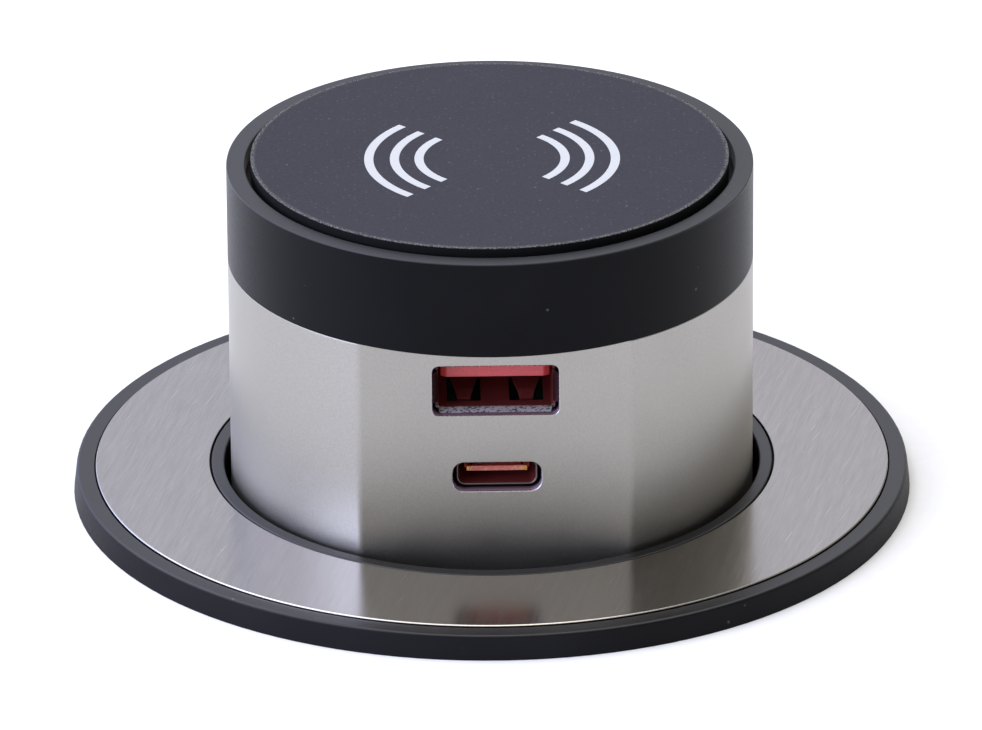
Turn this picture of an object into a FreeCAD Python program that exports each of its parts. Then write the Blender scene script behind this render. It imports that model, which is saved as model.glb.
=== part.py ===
import FreeCAD, Part
import math
import os
import re
import Sketcher

# Pop-up wireless charger for a worktop: a round tower with a charging pad on top and
# two USB sockets in its facet rises through a flanged sleeve on a spring.
# The origin is on the tower's axis, level with the worktop under the flange. +Z is up and
# the facet looks along -Y. The tower is modelled raised. Lengths are in millimetres.

doc = FreeCAD.newDocument("pop_up_charger")
sizes = doc.addObject("Spreadsheet::Sheet", "Sizes")
places = doc.addObject("Spreadsheet::Sheet", "Places")
home = {}
nodes = []


def enter(sheet, name, content):
    row = str(sum(1 for owner in home.values() if owner == sheet.Name) + 1)
    sheet.set("A" + row, name)
    sheet.set("B" + row, content)
    sheet.setAlias("B" + row, name)
    home[name] = sheet.Name


def known(formula):
    # Each name that a sheet holds gets the sheet's name before it.
    def full(word):
        name = word.group()
        return home[name] + "." + name if name in home else name

    return re.sub(r"[a-z][a-z0-9_]*", full, str(formula))


def place(name, formula):
    enter(places, name, "=" + known(formula))


def value(formula):
    return float(sizes.evalExpression(known(formula)))


driving_sizes = {
    # Tower: shell, cap and pad
    "tower_radius": 29.0,  # silver tube and black cap alike
    "tower_wall": 1.8,
    "facet_depth": 4.1,  # how deep the flat cuts into the tube's radius
    "facet_edge": 0.5,  # rounding of the facet's two upright edges
    "shell_foot": 22.2,  # the tube's lower end, below the worktop
    "travel": 35.72,  # pad level with the flange when down
    "over_press": 1.5,  # extra stroke that works the latch
    "cap_height": 10.85,
    "cap_edge": 0.55,  # rounding of the cap's top edge
    "cap_skin": 1.0,  # floor between pad and coil
    "spigot_height": 2.0,  # rim of the cap inside the tube
    "spigot_wall": 1.7,
    "cap_land_width": 2.1,  # flat rim of the cap round the pad's groove
    "pad_gap": 0.6,  # groove between pad and cap
    "pad_thickness": 2.3,
    "pad_proud": 0.8,
    "pad_edge": 0.45,
    "glue": 0.12,  # thickness of each adhesive film

    # Sleeve and flange
    "flange_radius": 46.5,
    "flange_draft": 0.33,  # how far the rim leans in at its top
    "flange_top": 2.8,
    "flange_edge": 0.35,
    "steel_top": 3.03,
    "steel_thickness": 1.0,
    "collar_width": 1.65,  # from the bore to the steel ring
    "rim_width": 2.45,  # black rim outside the steel ring
    "steel_edge": 0.22,
    "collar_gap": 0.75,  # round the cap in the collar's bore
    "trim_gap": 0.18,  # line round the steel ring
    "bush_wall": 2.0,  # room for the guide bush round the tower
    "sleeve_wall": 2.0,
    "sleeve_depth": 66.0,
    "seal_offset": 3.5,  # from the sleeve's tube to the seal
    "seal_margin": 3.5,  # from the seal to the flange's edge
    "seal_thickness": 0.9,
    "seal_slack": 0.15,

    # Guide, cover and their fits
    "running_gap": 0.1,  # sliding and turning fits
    "free_gap": 0.3,  # pieces that pass without touching
    "seat_gap": 0.05,  # pieces that are fixed together
    "bush_top": 11.0,
    "bush_height": 11.0,
    "bush_bead": 0.6,
    "bead_height": 1.2,
    "cover_thickness": 3.0,
    "cover_rim_height": 2.8,
    "cover_rim_wall": 3.4,
    "cover_screw_angle": 30.0,
    "grommet_bore": 2.7,
    "grommet_radius": 5.2,
    "grommet_flange": 7.4,
    "grommet_lip": 1.4,

    # Screws
    "small_screw": 0.9,
    "small_head": 1.8,
    "small_head_height": 1.1,
    "small_screw_length": 6.0,
    "tie_screw": 1.25,
    "tie_head": 2.3,
    "tie_head_height": 1.6,
    "bolt_inset": 4.0,  # tie screws and board screws, from the tube's bore
    "boss_wall": 0.85,

    # Worktop clamp
    "thread_pitch": 3.0,
    "thread_depth": 1.0,
    "thread_crest": 1.0,
    "thread_root": 1.8,
    "thread_top": 9.0,  # first turn below the worktop's upper face
    "thread_length": 51.0,
    "worktop": 20.0,  # thickness clamped in the modelled pose
    "washer_width": 8.7,
    "washer_thickness": 2.0,
    "nut_wall": 5.7,
    "nut_height": 12.0,
    "nut_lug": 2.6,
    "nut_lugs": 10,

    # Carriage, spring and lead
    "lip_gap": 0.4,  # round the carriage in the sleeve
    "carriage_plate": 3.0,
    "skirt_height": 4.0,
    "skirt_wall": 1.6,
    "spring_radius": 10.6,  # to the middle of the wire
    "spring_wire": 1.2,
    "spring_turns": 8,
    "cup_clearance": 1.0,
    "cup_wall": 1.2,
    "cup_height": 7.2,
    "lead_bore": 2.6,
    "gland_radius": 4.2,
    "gland_flange": 6.2,
    "gland_length": 7.0,
    "gland_nut_height": 3.0,

    # Posts that stand on the cover
    "foot_height": 3.2,
    "foot_screw_length": 4.6,
    "rack_foot_depth": 9.0,
    "rack_foot_half_width": 5.4,
    "foot_screw_spread": 3.4,

    # Damper: rack and pinion
    "gear_module": 0.6,
    "pinion_teeth": 12,
    "pressure_angle": 25.0,
    "backlash": 0.12,
    "rack_clearance": 1.0,  # behind the rack in the tube
    "rack_depth": 3.4,  # from its back to its pitch line
    "rack_half_width": 2.5,
    "pinion_half_width": 2.2,
    "pinion_level": 16.3,  # below the worktop
    "damper_radius": 4.6,
    "damper_length": 5.0,
    "damper_flange": 1.0,
    "shaft_radius": 1.2,
    "wall_plate": 2.0,

    # Push latch
    "track_clearance": 0.7,  # behind the track in the tube
    "track_thickness": 3.6,
    "track_depth": 1.8,
    "track_top": 47.0,
    "track_half_width": 4.6,
    "lane_offset": 2.5,  # each lane of the track, from its middle
    "lane_width": 1.7,
    "latch_pin_radius": 0.6,
    "notch_play": 0.4,  # over the pin in the latched pose
    "latch_arm": 10.0,
    "latch_pivot_level": 12.5,
    "latch_thickness": 1.2,
    "pivot_radius": 0.8,

    # USB sockets
    "socket_offset": 0.3,  # both sockets, right of the middle
    "usb_a_level": 19.12,  # above the steel ring
    "usb_a_width": 13.1,
    "usb_a_height": 5.7,
    "usb_a_skin": 0.3,
    "usb_a_window_side": 0.35,
    "usb_a_window_rise": 0.08,
    "usb_a_corner": 0.7,
    "usb_a_setback": 1.1,
    "usb_a_tongue_setback": 3.1,
    "usb_a_tongue_width": 11.5,
    "usb_a_tongue_height": 1.84,
    "usb_a_tongue_drop": 0.5,
    "usb_c_level": 8.96,
    "usb_c_width": 8.94,
    "usb_c_height": 3.16,
    "usb_c_skin": 0.3,
    "usb_c_corner": 1.05,  # outer corner of the shell
    "usb_c_window_side": 0.33,
    "usb_c_window_rise": 0.14,
    "usb_c_setback": 1.3,
    "usb_c_tongue_setback": 2.2,
    "usb_c_tongue_width": 6.69,
    "usb_c_tongue_height": 0.7,
    "contact_proud": 0.08,

    # Boards
    "board_thickness": 1.6,
    "port_board_distance": 10.6,  # front of the port board, from the axis
    "port_board_inset": 8.2,  # from the tube's bore to the board's end
    "port_board_top": 26.0,
    "port_board_foot": 12.0,
    "board_inset": 2.3,  # round the charger board and the coil carrier
    "charger_board_level": 28.2,
    "carrier_thickness": 1.2,
    "ferrite_thickness": 0.7,
    "coil_wire": 0.5,
    "coil_pitch": 1.15,
    "coil_start": 8.6,
    "coil_margin": 0.6,  # from the last turn to the ferrite's edge, at least
}
for name, number in driving_sizes.items():
    enter(sizes, name, str(number))

doc.recompute()

# What follows from them
place("cap_land", "steel_top + travel")
place("cap_foot", "cap_land - cap_height")
place("stroke", "travel + over_press")
place("shell_bore", "tower_radius - tower_wall")
place("facet_distance", "tower_radius - facet_depth")
place("pad_radius", "tower_radius - cap_land_width - pad_gap")
place("collar_radius", "tower_radius + collar_gap")
place("sleeve_bore", "tower_radius + bush_wall")
place("steel_inner", "collar_radius + collar_width")
place("steel_outer", "flange_radius - rim_width")
place("inner_facet", "facet_distance - tower_wall")
place("pad_top", "cap_land + pad_proud")
place("pad_foot", "pad_top - pad_thickness")
place("recess_floor", "pad_foot - glue")
place("cap_ceiling", "recess_floor - cap_skin")
place("steel_foot", "steel_top - steel_thickness")
place("steel_seat", "steel_foot - glue")
place("tube_radius", "sleeve_bore + sleeve_wall")
place("crest_radius", "tube_radius + thread_depth")
place("seal_inner", "tube_radius + seal_offset")
place("seal_outer", "flange_radius - seal_margin")
place("washer_radius", "crest_radius + free_gap + washer_width")
place("nut_radius", "crest_radius + free_gap + nut_wall")
place("lip_radius", "sleeve_bore - lip_gap")
place("bolt_circle", "shell_bore - bolt_inset")
place("charger_board_radius", "shell_bore - board_inset")
place("port_board_half_width", "shell_bore - port_board_inset")
place("rack_back", "shell_bore - rack_clearance")
place("rack_line", "rack_back - rack_depth")
place("track_back", "shell_bore - track_clearance")
place("track_face", "track_back - track_thickness")
place("lip_top", "0 - shell_foot")
place("carriage_foot", "lip_top - carriage_plate")
place("sleeve_foot", "0 - sleeve_depth")
place("cover_foot", "sleeve_foot - cover_thickness")
place("cup_bore", "spring_radius + spring_wire / 2 + cup_clearance")
place("cup_top", "lip_top + cup_height")
place("cup_roof", "cup_top - cup_wall * 1.6")
place("washer_top", "0 - worktop")
place("washer_foot", "washer_top - washer_thickness")
place("nut_top", "washer_foot - running_gap")
place("nut_foot", "nut_top - nut_height")
place("thread_start", "0 - thread_top - thread_length")
place("pitch_radius", "gear_module * pinion_teeth / 2")
place("pinion_line", "rack_line - pitch_radius")
place("pinion_height", "0 - pinion_level")
place("usb_a_middle", "steel_top + usb_a_level")
place("usb_c_middle", "steel_top + usb_c_level")
place("usb_a_front", "usb_a_setback - facet_distance")
place("usb_c_front", "usb_c_setback - facet_distance")
place("board_front", "0 - port_board_distance")
place("board_back", "board_front + board_thickness")
place("pivot_height", "0 - latch_pivot_level")
place("latch_tip", "pivot_height - latch_arm")
place("latch_low", "latch_tip - stroke")
place("arm_rise", "latch_arm - sqrt(latch_arm ^ 2 - lane_offset ^ 2)")
place("boss_radius", "tie_screw + boss_wall")
place("ferrite_radius", "bolt_circle - boss_radius - free_gap")
place("coil_turns", "floor((ferrite_radius - coil_start - coil_margin) / coil_pitch)")
place("coil_middle", "cap_ceiling - free_gap - coil_wire")
place("ferrite_foot", "coil_middle - coil_wire - seat_gap - ferrite_thickness")
place("carrier_foot", "ferrite_foot - carrier_thickness")
place("charger_board_top", "charger_board_level + board_thickness")
place("tongue_a_top", "usb_a_middle + usb_a_height / 2 - usb_a_skin - usb_a_tongue_drop")
place("tongue_a_foot", "tongue_a_top - usb_a_tongue_height")
place("rack_slot", "rack_line - gear_module - free_gap")
place("foot_top", "sleeve_foot + foot_height")
doc.recompute()


# Helpers for the document's objects
def bound(thing, **formulas):
    for name, formula in formulas.items():
        thing.setExpression(name, known(formula))
    return thing


def moved(thing, x="0", y="0", z="0"):
    for axis, formula in zip("xyz", (x, y, z)):
        thing.setExpression("Placement.Base." + axis, known(formula))
    return thing


def origin_plane(body, role):
    return next(feature for feature in body.Origin.OriginFeatures if feature.Role == role)


def new_sketch(body, role, name, offset="0"):
    sketch = body.newObject("Sketcher::SketchObject", name)
    sketch.AttachmentSupport = [(origin_plane(body, role), "")]
    sketch.MapMode = "FlatFace"
    sketch.setExpression("AttachmentOffset.Base.z", known(offset))
    return sketch


def pin_point(sketch, line, end, x, y):
    # Ties one end of a line to two formulas, measured from the sketch's own origin.
    for kind, formula in (("DistanceX", x), ("DistanceY", y)):
        spot = sketch.addConstraint(Sketcher.Constraint(kind, -1, 1, line, end, value(formula)))
        sketch.setExpression("Constraints[" + str(spot) + "]", known(formula))


def draw(sketch, outline):
    corners = [FreeCAD.Vector(value(x), value(y), 0) for x, y in outline]
    first = sketch.GeometryCount
    for number, corner in enumerate(corners):
        sketch.addGeometry(Part.LineSegment(corner, corners[(number + 1) % len(corners)]))
    for number, (x, y) in enumerate(outline):
        line = first + number
        following = first + (number + 1) % len(outline)
        sketch.addConstraint(Sketcher.Constraint("Coincident", line, 2, following, 1))
        pin_point(sketch, line, 1, x, y)


def turned(name, outline):
    # A body of revolution about Z, from its outline as (radius, height) formulas.
    body = doc.addObject("PartDesign::Body", name)
    sketch = new_sketch(body, "XZ_Plane", name + "_outline")
    draw(sketch, outline)
    turn = body.newObject("PartDesign::Revolution", name + "_turn")
    turn.Profile = sketch
    turn.ReferenceAxis = (sketch, ["V_Axis"])
    turn.Angle = 360
    doc.recompute()
    return body


def ring(name, inner, outer, low, high):
    return turned(name, [(inner, low), (outer, low), (outer, high), (inner, high)])


def padded(name, role, outline, start, depth):
    # A flat outline on one of the origin planes, from start for a depth along its normal.
    body = doc.addObject("PartDesign::Body", name)
    sketch = new_sketch(body, role, name + "_outline", start)
    draw(sketch, outline)
    pad = body.newObject("PartDesign::Pad", name + "_pad")
    pad.Profile = sketch
    pad.setExpression("Length", known(depth))
    doc.recompute()
    return body


def softened(body, name, radius, spots):
    # Rounds the circular edges at the given (radius, height) spots.
    tip = body.Tip
    chosen = []
    for number, edge in enumerate(tip.Shape.Edges, 1):
        if not isinstance(edge.Curve, Part.Circle):
            continue
        for r, z in spots:
            level = abs(edge.Curve.Center.z - value(z))
            if level < 1e-4 and abs(edge.Curve.Radius - value(r)) < 1e-4:
                chosen.append("Edge" + str(number))
    fillet = body.newObject("PartDesign::Fillet", name)
    fillet.Base = (tip, chosen)
    fillet.Radius = value(radius)
    fillet.setExpression("Radius", known(radius))
    doc.recompute()
    return body


def block(name, low, high):
    box = doc.addObject("Part::Box", name)
    for side, start, end in zip(("Length", "Width", "Height"), low, high):
        box.setExpression(side, known("(" + end + ") - (" + start + ")"))
    return moved(box, *low)


turns = {
    "x": FreeCAD.Rotation(FreeCAD.Vector(0, 1, 0), 90),
    "y": FreeCAD.Rotation(FreeCAD.Vector(1, 0, 0), -90),
    "z": FreeCAD.Rotation(),
}


def rod(name, radius, start, length, along="z"):
    cylinder = doc.addObject("Part::Cylinder", name)
    cylinder.Placement = FreeCAD.Placement(FreeCAD.Vector(), turns[along])
    bound(cylinder, Radius=radius, Height=length)
    return moved(cylinder, *start)


def fused(name, parts):
    whole = doc.addObject("Part::MultiFuse", name)
    whole.Shapes = parts
    whole.Refine = True
    return whole


def carved(name, base, tools):
    result = doc.addObject("Part::Cut", name)
    result.Base = base
    result.Tool = tools[0] if len(tools) == 1 else fused(name + "_cuts", tools)
    result.Refine = True
    return result


def threaded(name, base, thread):
    # A thread's long curved ridge joins its core as a pair.
    pair = doc.addObject("Part::Fuse", name)
    pair.Base = base
    pair.Tool = thread
    return pair


def grouped(name, parts):
    group = doc.addObject("Part::Compound", name)
    group.Links = parts
    return group


def computed(name, shape):
    feature = doc.addObject("Part::Feature", name)
    feature.Shape = shape
    return feature


def node(thing):
    thing.Label = thing.Name
    nodes.append(thing)
    return thing


def rounded_bar(name, x, z, width, height, corner, front, depth):
    # A bar along +Y whose section is a rounded rectangle about (x, z).
    body = doc.addObject("PartDesign::Body", name)
    sketch = new_sketch(body, "XZ_Plane", name + "_outline", "0 - (" + front + ")")
    half_w = "(" + width + ") / 2"
    half_h = "(" + height + ") / 2"
    cx, cz, hw, hh, r = (value(f) for f in (x, z, half_w, half_h, corner))
    quarter = math.pi / 2
    for number, (sx, sz) in enumerate(((1, 1), (-1, 1), (-1, -1), (1, -1))):
        centre = FreeCAD.Vector(cx + sx * (hw - r), cz + sz * (hh - r), 0)
        circle = Part.Circle(centre, FreeCAD.Vector(0, 0, 1), r)
        sketch.addGeometry(Part.ArcOfCircle(circle, number * quarter, (number + 1) * quarter))
    for number, (sx, sz) in enumerate(((1, 1), (-1, 1), (-1, -1), (1, -1))):
        following = (number + 1) % 4
        start = sketch.Geometry[number].EndPoint
        end = sketch.Geometry[following].StartPoint
        line = sketch.addGeometry(Part.LineSegment(start, end))
        sketch.addConstraint(Sketcher.Constraint("Tangent", number, 2, line, 1))
        sketch.addConstraint(Sketcher.Constraint("Tangent", line, 2, following, 1))
        across = "(" + x + ") + (" + half_w + " - (" + corner + ")) * (" + str(sx) + ")"
        up = "(" + z + ") + (" + half_h + " - (" + corner + ")) * (" + str(sz) + ")"
        pin_point(sketch, number, 3, across, up)
    spot = sketch.addConstraint(Sketcher.Constraint("Radius", 0, r))
    sketch.setExpression("Constraints[" + str(spot) + "]", known(corner))
    pad = body.newObject("PartDesign::Pad", name + "_pad")
    pad.Profile = sketch
    pad.Reversed = True
    pad.setExpression("Length", known(depth))
    doc.recompute()
    return body


def screw(name, radius, head, head_height, start, length, along="z", head_first=True):
    # A pan head with its shank; the head sits at the start, or at the far end.
    shank = rod(name + "_shank", radius, start, length, along)
    at = dict(zip("xyz", start))
    if head_first:
        at[along] = "(" + at[along] + ") - (" + head_height + ")"
    else:
        at[along] = "(" + at[along] + ") + (" + length + ")"
    cap = rod(name + "_head", head, (at["x"], at["y"], at["z"]), head_height, along)
    return fused(name, [shank, cap])


def polar(radius, angle):
    return "(" + radius + ") * cos(" + str(angle) + ")", "(" + radius + ") * sin(" + str(angle) + ")"


def ridge(radius, pitch, height, low, profile):
    # One helical ridge about Z; the profile is a list of (radius, height) offsets.
    helix = Part.makeHelix(pitch, height, radius)
    corners = [FreeCAD.Vector(radius + out, 0, up) for out, up in profile]
    section = Part.makePolygon(corners + corners[:1])
    solid = Part.Wire(helix.Edges).makePipeShell([section], True, True)
    solid.translate(FreeCAD.Vector(0, 0, low))
    return solid


# Sleeve with its flange, collar and worktop thread
sleeve_turned = turned("sleeve_turned", [
    ("collar_radius", "0 - bush_top"),
    ("sleeve_bore", "0 - bush_top"),
    ("sleeve_bore", "sleeve_foot"),
    ("tube_radius", "sleeve_foot"),
    ("tube_radius", "0"),
    ("flange_radius", "0"),
    ("flange_radius - flange_draft", "flange_top"),
    ("steel_outer + trim_gap", "flange_top"),
    ("steel_outer + trim_gap", "steel_seat"),
    ("steel_inner - trim_gap", "steel_seat"),
    ("steel_inner - trim_gap", "steel_top"),
    ("collar_radius", "steel_top"),
])
softened(sleeve_turned, "sleeve_edges", "flange_edge", [
    ("flange_radius - flange_draft", "flange_top"),
])
softened(sleeve_turned, "collar_edges", "steel_edge", [
    ("collar_radius", "steel_top"),
    ("steel_inner - trim_gap", "steel_top"),
])
half_crest = value("thread_crest / 2")
half_root = value("thread_root / 2")
thread_overlap = 0.3
thread = computed("sleeve_thread", ridge(
    value("tube_radius"), value("thread_pitch"), value("thread_length"), value("thread_start"),
    [(-thread_overlap, -half_root), (value("thread_depth"), -half_crest),
     (value("thread_depth"), half_crest), (-thread_overlap, half_root)]))
bead_groove = ring("bead_groove", "sleeve_bore - free_gap", "sleeve_bore + bush_bead",
                   "0 - bush_top - bush_height / 2 - bead_height / 2",
                   "0 - bush_top - bush_height / 2 + bead_height / 2")
seal_groove = ring("seal_groove", "seal_inner", "seal_outer", "0 - free_gap",
                   "seal_thickness + seal_slack")
cover_screw_level = "sleeve_foot + cover_rim_height / 2"


def side_screws(name, gap, past="0"):
    # The cover's screws point at the axis, with heads flush with the tube or past it.
    parts = []
    for number in range(3):
        angle = value("cover_screw_angle") + number * 120
        inner = "tube_radius - small_head_height - small_screw_length * 0.75"
        shank = rod(name + "_shank" + str(number), "small_screw + " + gap,
                    ("0", "0", "0"), "small_screw_length * 0.75 + " + gap, "x")
        head = rod(name + "_head" + str(number), "small_head + " + gap,
                   ("0", "0", "0"), "small_head_height + " + gap + " + " + past, "x")
        for part, start in ((shank, inner), (head, "tube_radius - small_head_height - " + gap)):
            reach = known("(" + start + ")")
            part.Placement = FreeCAD.Placement(
                FreeCAD.Vector(),
                FreeCAD.Rotation(FreeCAD.Vector(0, 0, 1), angle).multiply(turns["x"]))
            part.setExpression("Placement.Base.x", reach + " * cos(" + str(angle) + ")")
            part.setExpression("Placement.Base.y", reach + " * sin(" + str(angle) + ")")
            part.setExpression("Placement.Base.z", known(cover_screw_level))
        parts.append(fused(name + str(number), [shank, head]))
    return parts


node(threaded("housing_sleeve", carved(
    "sleeve_grooved", sleeve_turned,
    [bead_groove, seal_groove] + side_screws("sleeve_holes", "seat_gap", "free_gap")), thread))

steel_trim_ring = node(softened(
    ring("steel_trim_ring", "steel_inner", "steel_outer", "steel_foot", "steel_top"),
    "steel_edges", "steel_edge", [("steel_outer", "steel_top"), ("steel_inner", "steel_top")]))
node(ring("trim_adhesive", "steel_inner + free_gap", "steel_outer - free_gap",
          "steel_seat", "steel_foot"))
node(ring("flange_seal", "seal_inner + seal_slack", "seal_outer - seal_slack", "0",
          "seal_thickness"))

# Guide bush: a round ring whose bore has the tower's flat
def flat_sided(name, radius, flat, low, high):
    # A disc about Z with one side cut off by a plane that faces -Y.
    disc = rod(name + "_disc", radius, ("0", "0", low), "(" + high + ") - (" + low + ")")
    side = "(" + radius + " + 1)"
    keep = block(name + "_side", ("0 - " + side, "0 - (" + flat + ")", low), (side, side, high))
    both = doc.addObject("Part::MultiCommon", name)
    both.Shapes = [disc, keep]
    return both


bush_foot = "0 - bush_top - bush_height"
bush_middle = "0 - bush_top - bush_height / 2"
bush_ring = fused("bush_ring", [
    rod("bush_disc", "sleeve_bore - seat_gap", ("0", "0", bush_foot), "bush_height"),
    rod("bush_bead_disc", "sleeve_bore + bush_bead - seat_gap",
        ("0", "0", bush_middle + " - bead_height / 2 + seat_gap"), "bead_height - 2 * seat_gap"),
])
node(carved("guide_bush", bush_ring, [
    flat_sided("bush_bore", "tower_radius + running_gap", "facet_distance + running_gap",
               bush_foot + " - 1", "1 - bush_top")]))

# Bottom cover, its screws and the cable grommet
cover_turned = turned("cover_turned", [
    ("grommet_radius + seat_gap", "cover_foot + grommet_lip"),
    ("grommet_flange + seat_gap", "cover_foot + grommet_lip"),
    ("grommet_flange + seat_gap", "cover_foot"),
    ("tube_radius", "cover_foot"),
    ("tube_radius", "sleeve_foot"),
    ("sleeve_bore - seat_gap", "sleeve_foot"),
    ("sleeve_bore - seat_gap", "sleeve_foot + cover_rim_height"),
    ("sleeve_bore - seat_gap - cover_rim_wall", "sleeve_foot + cover_rim_height"),
    ("sleeve_bore - seat_gap - cover_rim_wall", "sleeve_foot"),
    ("spring_radius - spring_wire / 2 - free_gap", "sleeve_foot"),
    ("spring_radius - spring_wire / 2 - free_gap", "sleeve_foot + spring_wire"),
    ("spring_radius - spring_wire / 2 - free_gap - cup_wall", "sleeve_foot + spring_wire"),
    ("spring_radius - spring_wire / 2 - free_gap - cup_wall", "sleeve_foot"),
    ("grommet_radius + seat_gap", "sleeve_foot"),
])
rack_screws_at = [("0 - foot_screw_spread", "rack_back - rack_foot_depth + 2.4"),
                  ("foot_screw_spread", "rack_back - rack_foot_depth + 2.4")]
track_screws_at = [("0 - track_face + 2.4", "0 - foot_screw_spread + 0.6"),
                   ("0 - track_face + 2.4", "foot_screw_spread - 0.6")]


def foot_screws(name, spots, gap):
    # Screws up through the cover into a post's foot, with their heads sunk in the cover.
    start = "cover_foot + small_head_height + free_gap"
    pieces = []
    for number, (x, y) in enumerate(spots):
        pieces.append(screw(name + str(number), "small_screw + " + gap, "small_head + " + gap,
                            "small_head_height + " + gap, (x, y, start), "foot_screw_length"))
    return pieces


def head_holes(name, spots):
    return [rod(name + str(number), "small_head + seat_gap", (x, y, "cover_foot - 1"),
                "1 + small_head_height + free_gap") for number, (x, y) in enumerate(spots)]


node(carved("bottom_cover", cover_turned,
            side_screws("cover_holes", "seat_gap")
            + foot_screws("cover_rack_holes", rack_screws_at, "seat_gap")
            + foot_screws("cover_track_holes", track_screws_at, "seat_gap")
            + head_holes("cover_rack_heads", rack_screws_at)
            + head_holes("cover_track_heads", track_screws_at)))
node(grouped("cover_screws", side_screws("cover_screw", "0")))
node(grouped("post_screws", foot_screws("rack_screw", rack_screws_at, "0")
             + foot_screws("track_screw", track_screws_at, "0")))
node(turned("cable_grommet", [
    ("grommet_bore", "cover_foot + free_gap"),
    ("grommet_flange", "cover_foot + free_gap"),
    ("grommet_flange", "cover_foot + grommet_lip"),
    ("grommet_radius", "cover_foot + grommet_lip"),
    ("grommet_radius", "sleeve_foot"),
    ("grommet_flange", "sleeve_foot"),
    ("grommet_flange", "sleeve_foot + grommet_lip"),
    ("grommet_bore", "sleeve_foot + grommet_lip"),
]))


# Damper rack and pinion
def involute(angle):
    return math.tan(angle) - angle


def gear_outline(module, teeth, pressure, slack):
    # Points of one spur gear, with a tooth at angle zero, each flank an involute.
    pitch = module * teeth / 2
    base = pitch * math.cos(pressure)
    half_tooth = (math.pi * module / 2 - slack / 2) / 2 / pitch + involute(pressure)
    root, tip, steps = pitch - 1.25 * module, pitch + module, 4
    flank = [(root, half_tooth)]
    for step in range(steps + 1):
        radius = base + (tip - base) * step / steps
        flank.append((radius, half_tooth - involute(math.acos(min(1, base / radius)))))
    points = []
    for tooth in range(teeth):
        middle = 2 * math.pi * tooth / teeth
        points += [(r, middle - turn) for r, turn in flank]
        points += [(r, middle + turn) for r, turn in reversed(flank)]
    return [(r * math.cos(turn), r * math.sin(turn)) for r, turn in points]


def prism(points, start, depth):
    # Extrudes a closed outline of (y, z) points along +X.
    corners = [FreeCAD.Vector(start, y, z) for y, z in points]
    face = Part.Face(Part.makePolygon(corners + corners[:1]))
    return face.extrude(FreeCAD.Vector(depth, 0, 0))


module = value("gear_module")
pressure = math.radians(value("pressure_angle"))
tooth_pitch = math.pi * module
pinion_y, pinion_z = value("pinion_line"), value("pinion_height")
half_pinion = value("pinion_half_width")
gear = [(pinion_y + y, pinion_z + z) for y, z in
        gear_outline(module, int(value("pinion_teeth")), pressure, value("backlash"))]
shaft_end = "pinion_half_width + free_gap + damper_length - damper_flange - free_gap"
node(fused("damper_pinion", [
    computed("pinion_gear", prism(gear, -half_pinion, 2 * half_pinion)),
    rod("pinion_shaft", "shaft_radius", ("0", "pinion_line", "pinion_height"), shaft_end, "x"),
]))

rack_line, root_line = value("rack_line"), value("rack_line + 1.25 * gear_module")
tip_line = value("rack_line - gear_module")
half_tooth = tooth_pitch / 4 - value("backlash") / 4
at_tip = half_tooth - module * math.tan(pressure)
at_root = half_tooth + 1.25 * module * math.tan(pressure)
lowest = math.floor((value("0 - stroke") - 2 * tooth_pitch) / tooth_pitch)
rack_points = [(value("rack_back"), pinion_z + 2 * tooth_pitch),
               (value("rack_back"), value("sleeve_foot")), (root_line, value("sleeve_foot"))]
for count in range(lowest, 2):
    middle = pinion_z + (count + 0.5) * tooth_pitch
    rack_points += [(root_line, middle - at_root), (tip_line, middle - at_tip),
                    (tip_line, middle + at_tip), (root_line, middle + at_root)]
rack_points.append((root_line, pinion_z + 2 * tooth_pitch))
rack_width = value("rack_half_width")
rack_foot = block("rack_foot",
                  ("0 - rack_foot_half_width", "rack_back - rack_foot_depth", "sleeve_foot"),
                  ("rack_foot_half_width", "rack_back", "foot_top"))
node(carved("damper_rack", fused("rack_post", [
    computed("rack_teeth", prism(rack_points, -rack_width, 2 * rack_width)), rack_foot]),
    foot_screws("rack_foot_holes", rack_screws_at, "seat_gap")))

damper_near = "pinion_half_width + free_gap"
damper_far = damper_near + " + damper_length"
damper_top = "pinion_height + damper_radius + 3.6"
damper_screws_at = [("pinion_line - 2.4", damper_top + " - 1.9"),
                    ("pinion_line + 2.4", damper_top + " - 1.9")]


def damper_screws(name, gap):
    return [screw(name + str(number), "small_screw + " + gap, "small_head - 0.3",
                  "small_head_height", (damper_far + " - damper_flange", y, z),
                  "damper_flange + wall_plate", "x")
            for number, (y, z) in enumerate(damper_screws_at)]


node(carved("damper_body", fused("damper_case", [
    rod("damper_drum", "damper_radius", (damper_near, "pinion_line", "pinion_height"),
        "damper_length", "x"),
    block("damper_plate",
          (damper_far + " - damper_flange", "pinion_line - damper_radius",
           "pinion_height - damper_radius"),
          (damper_far, "pinion_line + damper_radius", damper_top)),
]), [rod("damper_bore", "shaft_radius + seat_gap", (damper_near + " - 1", "pinion_line",
         "pinion_height"), "1 + damper_length - damper_flange", "x")]
    + damper_screws("damper_holes", "seat_gap")))
node(grouped("damper_screws", damper_screws("damper_screw", "0")))

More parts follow.
